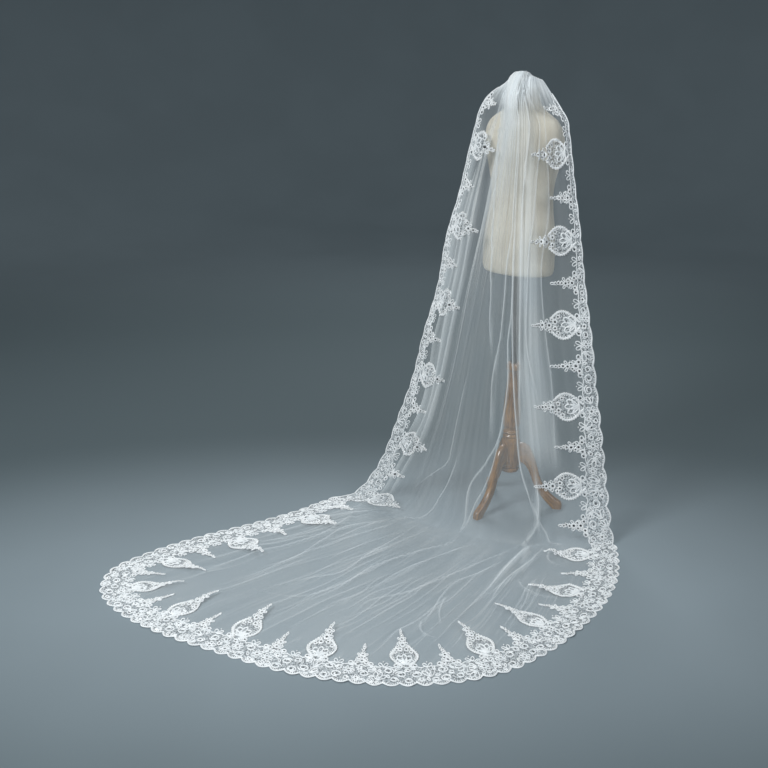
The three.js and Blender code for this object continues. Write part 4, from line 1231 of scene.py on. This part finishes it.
def spray(work, middle, root, reach, florets):  # florets narrowing to a drop at the tip
    for t, aside, size in florets:
        for side in (-1, 1) if aside else (1,):
            u = middle + side * aside / 1000 + rng.normal(0, 0.0012)
            v = root + reach * t + rng.normal(0, 0.0014)
            floret(work, u, v, rng.uniform(0.85, 1.1) * size / 1000, rng.uniform(0, 2))
        if not aside and size > 9:
            for side in (-1, 1):
                leaf = loop(middle + side * 0.0006 * size, root + reach * t, 0.0013 * size, 0.0007 * size,
                            math.pi / 2 - side, 8)
                work.cord(leaf, lace["fineCord"])
    last = root + reach * florets[-1][0] + 0.6e-3 * florets[-1][2]
    work.cord(loop(middle, last, root + reach - last, 0.0075, math.pi / 2, 9), 0.0038)
    work.pearl(middle, root + reach, 1.2)


def longMotif(work, middle, root, reach):
    outline = halfWidths(pearShape, reach, root, 26)
    mirrored(work, middle, outline, lace["pearCord"])
    backing(work, middle, outline, 7)
    foot = root + 0.08 * reach
    for turn, length in ((0, .046), (-.55, .044), (.55, .044), (-1.05, .034), (1.05, .034)):  # fan of petals
        work.cord(loop(middle, foot, length, 0.0170, math.pi / 2 + turn, 13), lace["petalCord"])
    for side in (-1, 1):
        work.sequin(middle + side * 0.0105, foot + 0.030, 1.2)
        curl(work, middle + side * 0.0300, root + 0.0060, 0.0120, -math.pi / 2, -side)
        for t in np.arange(0.07, 0.54, 0.042):  # beads on both sides of the line
            wide = float(np.interp(t, [p[0] for p in pearShape], [p[1] for p in pearShape]))
            work.pearl(middle + side * (wide + 0.0046), root + t * reach, 1.25)
            work.pearl(middle + side * (wide - 0.0054), root + t * reach, 1.1)
    spray(work, middle, root, reach, longFlorets)


def shortMotif(work, middle, root, reach):
    backing(work, middle, halfWidths(sprigShape, reach, root, 14), 5)
    for side in (-1, 1):
        curl(work, middle + side * 0.0330, root + 0.0070, 0.0110, -math.pi / 2, -side)
    spray(work, middle, root, reach, shortFlorets)


def betweenMotifs(work, u, root):  # leaves on the inner edge, half way between motifs
    for side in (-1, 1):
        leaf = loop(u + side * 0.002, root - 0.002, 0.021, 0.011, math.pi / 2 - side * 0.6, 9)
        work.cord(leaf, lace["fineCord"])
    work.pearl(u, root + 0.020, 1.1)


def drawStretch(length, steps, start, bandAt, depthAt, each):
    work = LaceWork()
    step = (length - start) / steps
    for i in range(steps):
        middle = start + (i + 0.5) * step
        band = bandAt(middle)
        for k in range(each):
            at = middle + ((k + 0.5) / each - 0.5) * step
            border(work, at, step / each, bandAt(at), each * i + k, depthAt(at))
        size = 0.97 + 0.05 * math.sin(i * 2.4)
        if i % 2:
            longMotif(work, middle, band, lace["long"] * size)
        else:
            shortMotif(work, middle, band, lace["short"] * size)
        if i < steps - 1:
            betweenMotifs(work, middle + step / 2, bandAt(middle + step / 2))
    fillBand(work, start, length, step, each, bandAt, depthAt)
    return work


def layLace(name, work, place, node):
    spots, lifts, faces, kinds = [], [], [], []
    total = 0

    def put(points, height, madeFaces, kind):
        nonlocal total
        spots.append(points)
        lifts.append(height)
        faces.extend(tuple(total + k for k in face) for face in madeFaces)
        kinds.extend([kind] * len(madeFaces))
        total += len(points)

    for rows in work.grounds:
        count, each = rows.shape[:2]
        put(rows.reshape(-1, 2), np.full(count * each, lace["groundLift"]), gridFaces(count, each), 0)
    low = lace["lift"] - 0.0006
    for points, wide in work.cords:
        way = unit(np.gradient(points, axis=0))
        if np.linalg.norm(points[0] - points[-1]) < 1e-6:
            way[0] = way[-1] = unit(way[0] + way[-1])
        aside = leftOf(way) * wide / 2
        strip = np.stack([points - aside, points, points + aside])
        height = np.repeat([low, lace["lift"] + 0.5 * wide, low], len(points))
        put(strip.reshape(-1, 2), height, gridFaces(3, len(points)), 1)
    for group, sides, kind, tall in ((work.sequins, 8, 2, 0.0006), (work.pearls, 6, 3, 0.0026)):
        turn = np.arange(sides) / sides * 2 * math.pi
        circle = np.stack([np.cos(turn), np.sin(turn)], -1)
        for u, v, radius in group:
            rim = [(k, (k + 1) % sides, sides + (k + 1) % sides, sides + k) for k in range(sides)]
            cap = [(sides + k, sides + (k + 1) % sides, 2 * sides) for k in range(sides)]
            points = np.concatenate([circle * radius, circle * radius * 0.7, [[0, 0]]]) + (u, v)
            base = lace["lift"] + lace["cordHigh"] * 0.6
            put(points, np.repeat([base, base + tall * 0.7, base + tall], [sides, sides, 1]), rim + cap, kind)
    flat = np.concatenate(spots)
    points, up = place(flat[:, 0], flat[:, 1])
    points = points + up * np.concatenate(lifts)[:, None]
    piece = meshPiece(name, points, faces, [groundFinish, cordFinish, sequinFinish, pearlFinish], kinds, flat)
    print(name, len(piece.data.polygons), "faces")
    declare(piece, "lace", node)
    return piece


def sideBand(side):
    total, top, low = sideLength[side], lace["bandTop"], lace["bandFloor"]
    return lambda u: top + (low - top) * float(np.clip(u / total, 0, 1)) ** lace["bandPower"]


def makeLace():
    made = []
    for name, side, steps, node in (("laceLeftEdge", -1, "leftSteps", "lace_left_edge"),
                                    ("laceRightEdge", 1, "rightSteps", "lace_right_edge")):
        work = drawStretch(sideLength[side], hemShape[steps], hemShape["plain"], sideBand(side),
                           lambda u: float(sideDepth(side, u)), hemShape["sideScallops"])
        made.append(layLace(name, work, sideFrame(side), node))
    work = drawStretch(hemLength, hemShape["trainSteps"], 0.0, lambda u: lace["bandFloor"],
                       lambda u: hemShape["depth"], hemShape["trainScallops"])
    made.append(layLace("laceTrainEdge", work, trainPlace, "lace_train_edge"))
    return made


lacePieces = makeLace()
declare(tulle, "tulle", "tulle_left_fall", "tulle_back_fall", "tulle_right_fall", "tulle_train")


# the dress form

form = {"around": 120, "rows": 170, "power": 2.1, "panels": 8, "seamHalf": 0.0026, "seamDeep": 0.0011}
# height, half width, depth in front and depth behind
formSections = np.array([
    [918, 135, 84, 89], [922, 138, 86, 92], [975, 142, 89, 97], [1030, 141, 89, 96], [1085, 135, 88, 86],
    [1140, 126, 87, 75], [1200, 121, 88, 68], [1250, 127, 95, 73], [1300, 137, 116, 82],
    [1345, 147, 126, 89], [1385, 152, 110, 90], [1412, 151, 88, 85], [1432, 144, 70, 78],
    [1448, 132, 60, 72], [1464, 108, 53, 66], [1484, 74, 50, 58], [1510, 53, 48, 51],
    [1564.7, 49, 48, 49],
]) / 1000


def makeForm():
    heights = np.linspace(formSections[0, 0], formSections[-1, 0], form["rows"])
    shape = smoothThrough(formSections[:, 0], formSections[:, 1:], heights)
    # extra columns stand close to each seam
    seams = np.arange(form["panels"]) / form["panels"]
    even = np.linspace(0, 1, form["around"], endpoint=False)
    close = [(seams + k * form["seamHalf"]) % 1 for k in (-2, -1, 0, 1, 2)]
    turns = np.unique(np.concatenate([even] + close).round(5))
    angle = turns * 2 * math.pi
    bend = lambda v: np.sign(v) * np.abs(v) ** (2 / form["power"])
    c, s = bend(np.cos(angle)), bend(np.sin(angle))
    deep = np.where(s > 0, shape[:, 1:2], shape[:, 2:3])
    points = np.stack([shape[:, :1] * c, deep * s, heights[:, None] * np.ones_like(c)], -1)
    off = np.abs((turns * form["panels"] + 0.5) % 1 - 0.5) / form["panels"]
    seam = np.clip(1 - off / form["seamHalf"], 0, 1)
    points = points - unit(points * (1, 1, 0)) * (form["seamDeep"] * seam)[None, :, None]
    girth = runAlong(points[60])
    flat = np.stack([np.tile(girth, (len(heights), 1)), np.tile(heights[:, None], (1, len(turns)))], -1)
    # rounded rims close the base and the neck: share of the width, and rise
    lowRim = ((0.985, -0.0012), (0.94, -0.0016), (0.5, -0.0016), (0.02, -0.0016))
    highRim = ((0.97, 0.0002), (0.5, 0.0002), (0.02, 0.0002))
    low, high = (np.stack([points[row] * (k, k, 1) + (0, 0, dz) for k, dz in rim])
                 for row, rim in ((0, lowRim), (-1, highRim)))
    low[..., 2] = np.maximum(low[..., 2], formSections[0, 0])
    grid = np.concatenate([low[::-1], points, high])
    flatGrid = np.concatenate([np.repeat(flat[:1], len(low), 0), flat, np.repeat(flat[-1:], len(high), 0)])
    faces = [f[::-1] for f in gridFaces(len(grid), len(turns), 0, True)]
    piece = meshPiece("linenForm", grid.reshape(-1, 3), faces, [linenFinish], flat=flatGrid.reshape(-1, 2))
    onSide = np.concatenate([np.zeros(len(low)), np.ones(len(heights)), np.zeros(len(high))])
    pointValues(piece, "seam", np.outer(onSide, seam).ravel())
    declare(piece, "linen", "form_torso")
    print("dress form", len(piece.data.polygons), "faces")


makeForm()


# turned wood and legs

stand = {"sides": 64, "legs": 3, "turn": 31, "reach": 0.205, "width": 0.026, "hub": 0.0363,
         "legRows": 60, "legSides": 20}
# radius and height down each turned piece
postTurning = np.array([
    [30, 280.3], [32, 286], [27, 294], [32, 302], [26, 309], [32, 330], [33.5, 360], [31, 410], [26, 465],
    [21.5, 520], [20.5, 541], [26, 548], [27, 560], [22, 573.7],
]) / 1000
hubTurning = np.array([[24, 139], [34, 143], [36, 153], [31, 158], [36, 163], [36, 262], [30, 280]]) / 1000
capTurning = np.array([[46.5, 1565], [49, 1567], [49, 1572.5], [47.6, 1574.4], [45.5, 1575]]) / 1000


def turnedPiece(name, profile, node, smoothing):
    run = runAlong(profile)
    fine = np.unique(np.concatenate([run, np.linspace(0, run[-1], 110)]))
    straight = np.stack([np.interp(fine, run, profile[:, i]) for i in (0, 1)], -1)
    line = straight + smoothing * (smoothThrough(run, profile, fine) - straight)
    line[:, 1] = np.clip(line[:, 1], profile[0, 1], profile[-1, 1])
    line = np.concatenate([[[0.0006, profile[0, 1]]], line, [[0.0006, profile[-1, 1]]]])
    turn = np.arange(stand["sides"]) / stand["sides"] * 2 * math.pi
    radius, height = line[:, :1], line[:, 1:]
    points = np.stack([radius * np.cos(turn), radius * np.sin(turn), height * np.ones_like(turn)], -1)
    faces = [f[::-1] for f in gridFaces(len(line), stand["sides"], 0, True)]
    piece = meshPiece(name, points.reshape(-1, 3), faces, [woodFinish])
    pointValues(piece, "grain", points.reshape(-1, 3) + (0.03, 0.05, 0.0))
    piece.data.set_sharp_from_angle(angle=math.radians(50))
    declare(piece, "wood", node)


def bezier(points, count=14):
    t = np.linspace(0, 1, count, endpoint=False)[:, None]
    points = [np.array(p, float) for p in points]
    while len(points) > 1:
        points = [points[i] * (1 - t) + points[i + 1] * t for i in range(len(points) - 1)]
    return points[0]


def legOutline():
    a, reach = stand["hub"] * 1000, stand["reach"] * 1000
    upper = [bezier([(a, 258), (a + 62, 262), (a + 62, 150), (a + 96, 92)]),
             bezier([(a + 96, 92), (a + 108, 72), (a + 128, 50), (reach - 12, 34)], 8),
             bezier([(reach - 12, 34), (reach + 6, 26), (reach, 0)], 6), np.array([[reach, 0]])]
    lower = [bezier([(reach - 36, 0), (a + 104, 26), (a + 72, 62), (a + 56, 100)], 14),
             bezier([(a + 56, 100), (a + 40, 136), (a + 34, 174), (a, 178)], 14), np.array([[a, 178]])]
    return np.concatenate(upper) / 1000, np.concatenate(lower)[::-1] / 1000


def makeLegs():
    upper, lower = legOutline()
    rows, sides = stand["legRows"], stand["legSides"]
    top, bottom = curveThrough(upper, rows), curveThrough(lower, rows)
    middle, half = (top + bottom) / 2, (top - bottom) / 2
    turns = np.arange(sides) / sides * 2 * math.pi
    # well rounded corners
    squareC, squareS = (np.sign(v) * np.abs(v) ** 0.55 for v in (np.cos(turns), np.sin(turns)))
    reach = middle[:, None, 0] + half[:, None, 0] * squareS
    height = np.maximum(middle[:, None, 1] + half[:, None, 1] * squareS, 0)
    wide = stand["width"] / 2 * squareC[None] * np.ones((rows, 1))
    across = np.linalg.norm(half, axis=1)[:, None] * squareS
    along = runAlong(middle)[:, None] * np.ones(sides)
    last = (rows - 1) * sides
    count = rows * sides
    pairs = [(k, (k + 1) % sides) for k in range(sides)]
    faces = gridFaces(rows, sides, 0, True) + [(count, b, a) for a, b in pairs]
    faces += [(count + 1, last + a, last + b) for a, b in pairs]
    for number in range(stand["legs"]):
        angle = math.radians(stand["turn"] + number * 360 / stand["legs"])
        c, s = math.cos(angle), math.sin(angle)
        points = np.stack([reach * c - wide * s, reach * s + wide * c, height], -1)
        corners = np.concatenate([points.reshape(-1, 3), points[[0, -1]].mean(1)])
        grainAt = np.stack([wide + 0.21 * number, across, along], -1)
        piece = meshPiece(f"standLeg{number + 1}", corners, faces, [woodFinish])
        pointValues(piece, "grain", np.concatenate([grainAt.reshape(-1, 3), grainAt[[0, -1]].mean(1)]))
        piece.data.set_sharp_from_angle(angle=math.radians(60))
        declare(piece, "wood", f"stand_leg_{number + 1}")


turnedPiece("turnedPost", postTurning, "stand_post", 0.75)
turnedPiece("turnedHub", hubTurning, "stand_hub", 0.25)
turnedPiece("neckCap", capTurning, "form_neck_cap", 0.4)
makeLegs()


# solids that stay as they are

def dressNode(name, material):
    node = bpy.data.objects[name]
    node.data.materials.clear()
    node.data.materials.append(material)


dressNode("stand_pole", steelFinish)
dressNode("veil_comb", combFinish)


def makeFloor():  # flat floor that sweeps up into a plain wall all round
    turn = np.arange(96) / 96 * 2 * math.pi
    sweep = np.linspace(0, math.pi / 2, 16)
    flat, bend = studio["flat"], studio["sweep"]
    rim = [(0.01, 0), (flat / 2, 0)]
    rim += [(flat + bend * math.sin(a), bend * (1 - math.cos(a))) for a in sweep]
    rim.append((flat + bend, bend + studio["wall"]))
    points = np.array([[(r * math.cos(t), r * math.sin(t), z) for t in turn] for r, z in rim])
    faces = gridFaces(len(rim), len(turn), 0, True) + [tuple(range(len(turn)))]
    piece = meshPiece("studioFloor", points.reshape(-1, 3), faces, [makeFloorFinish()])


makeFloor()
print("stand and floor made")
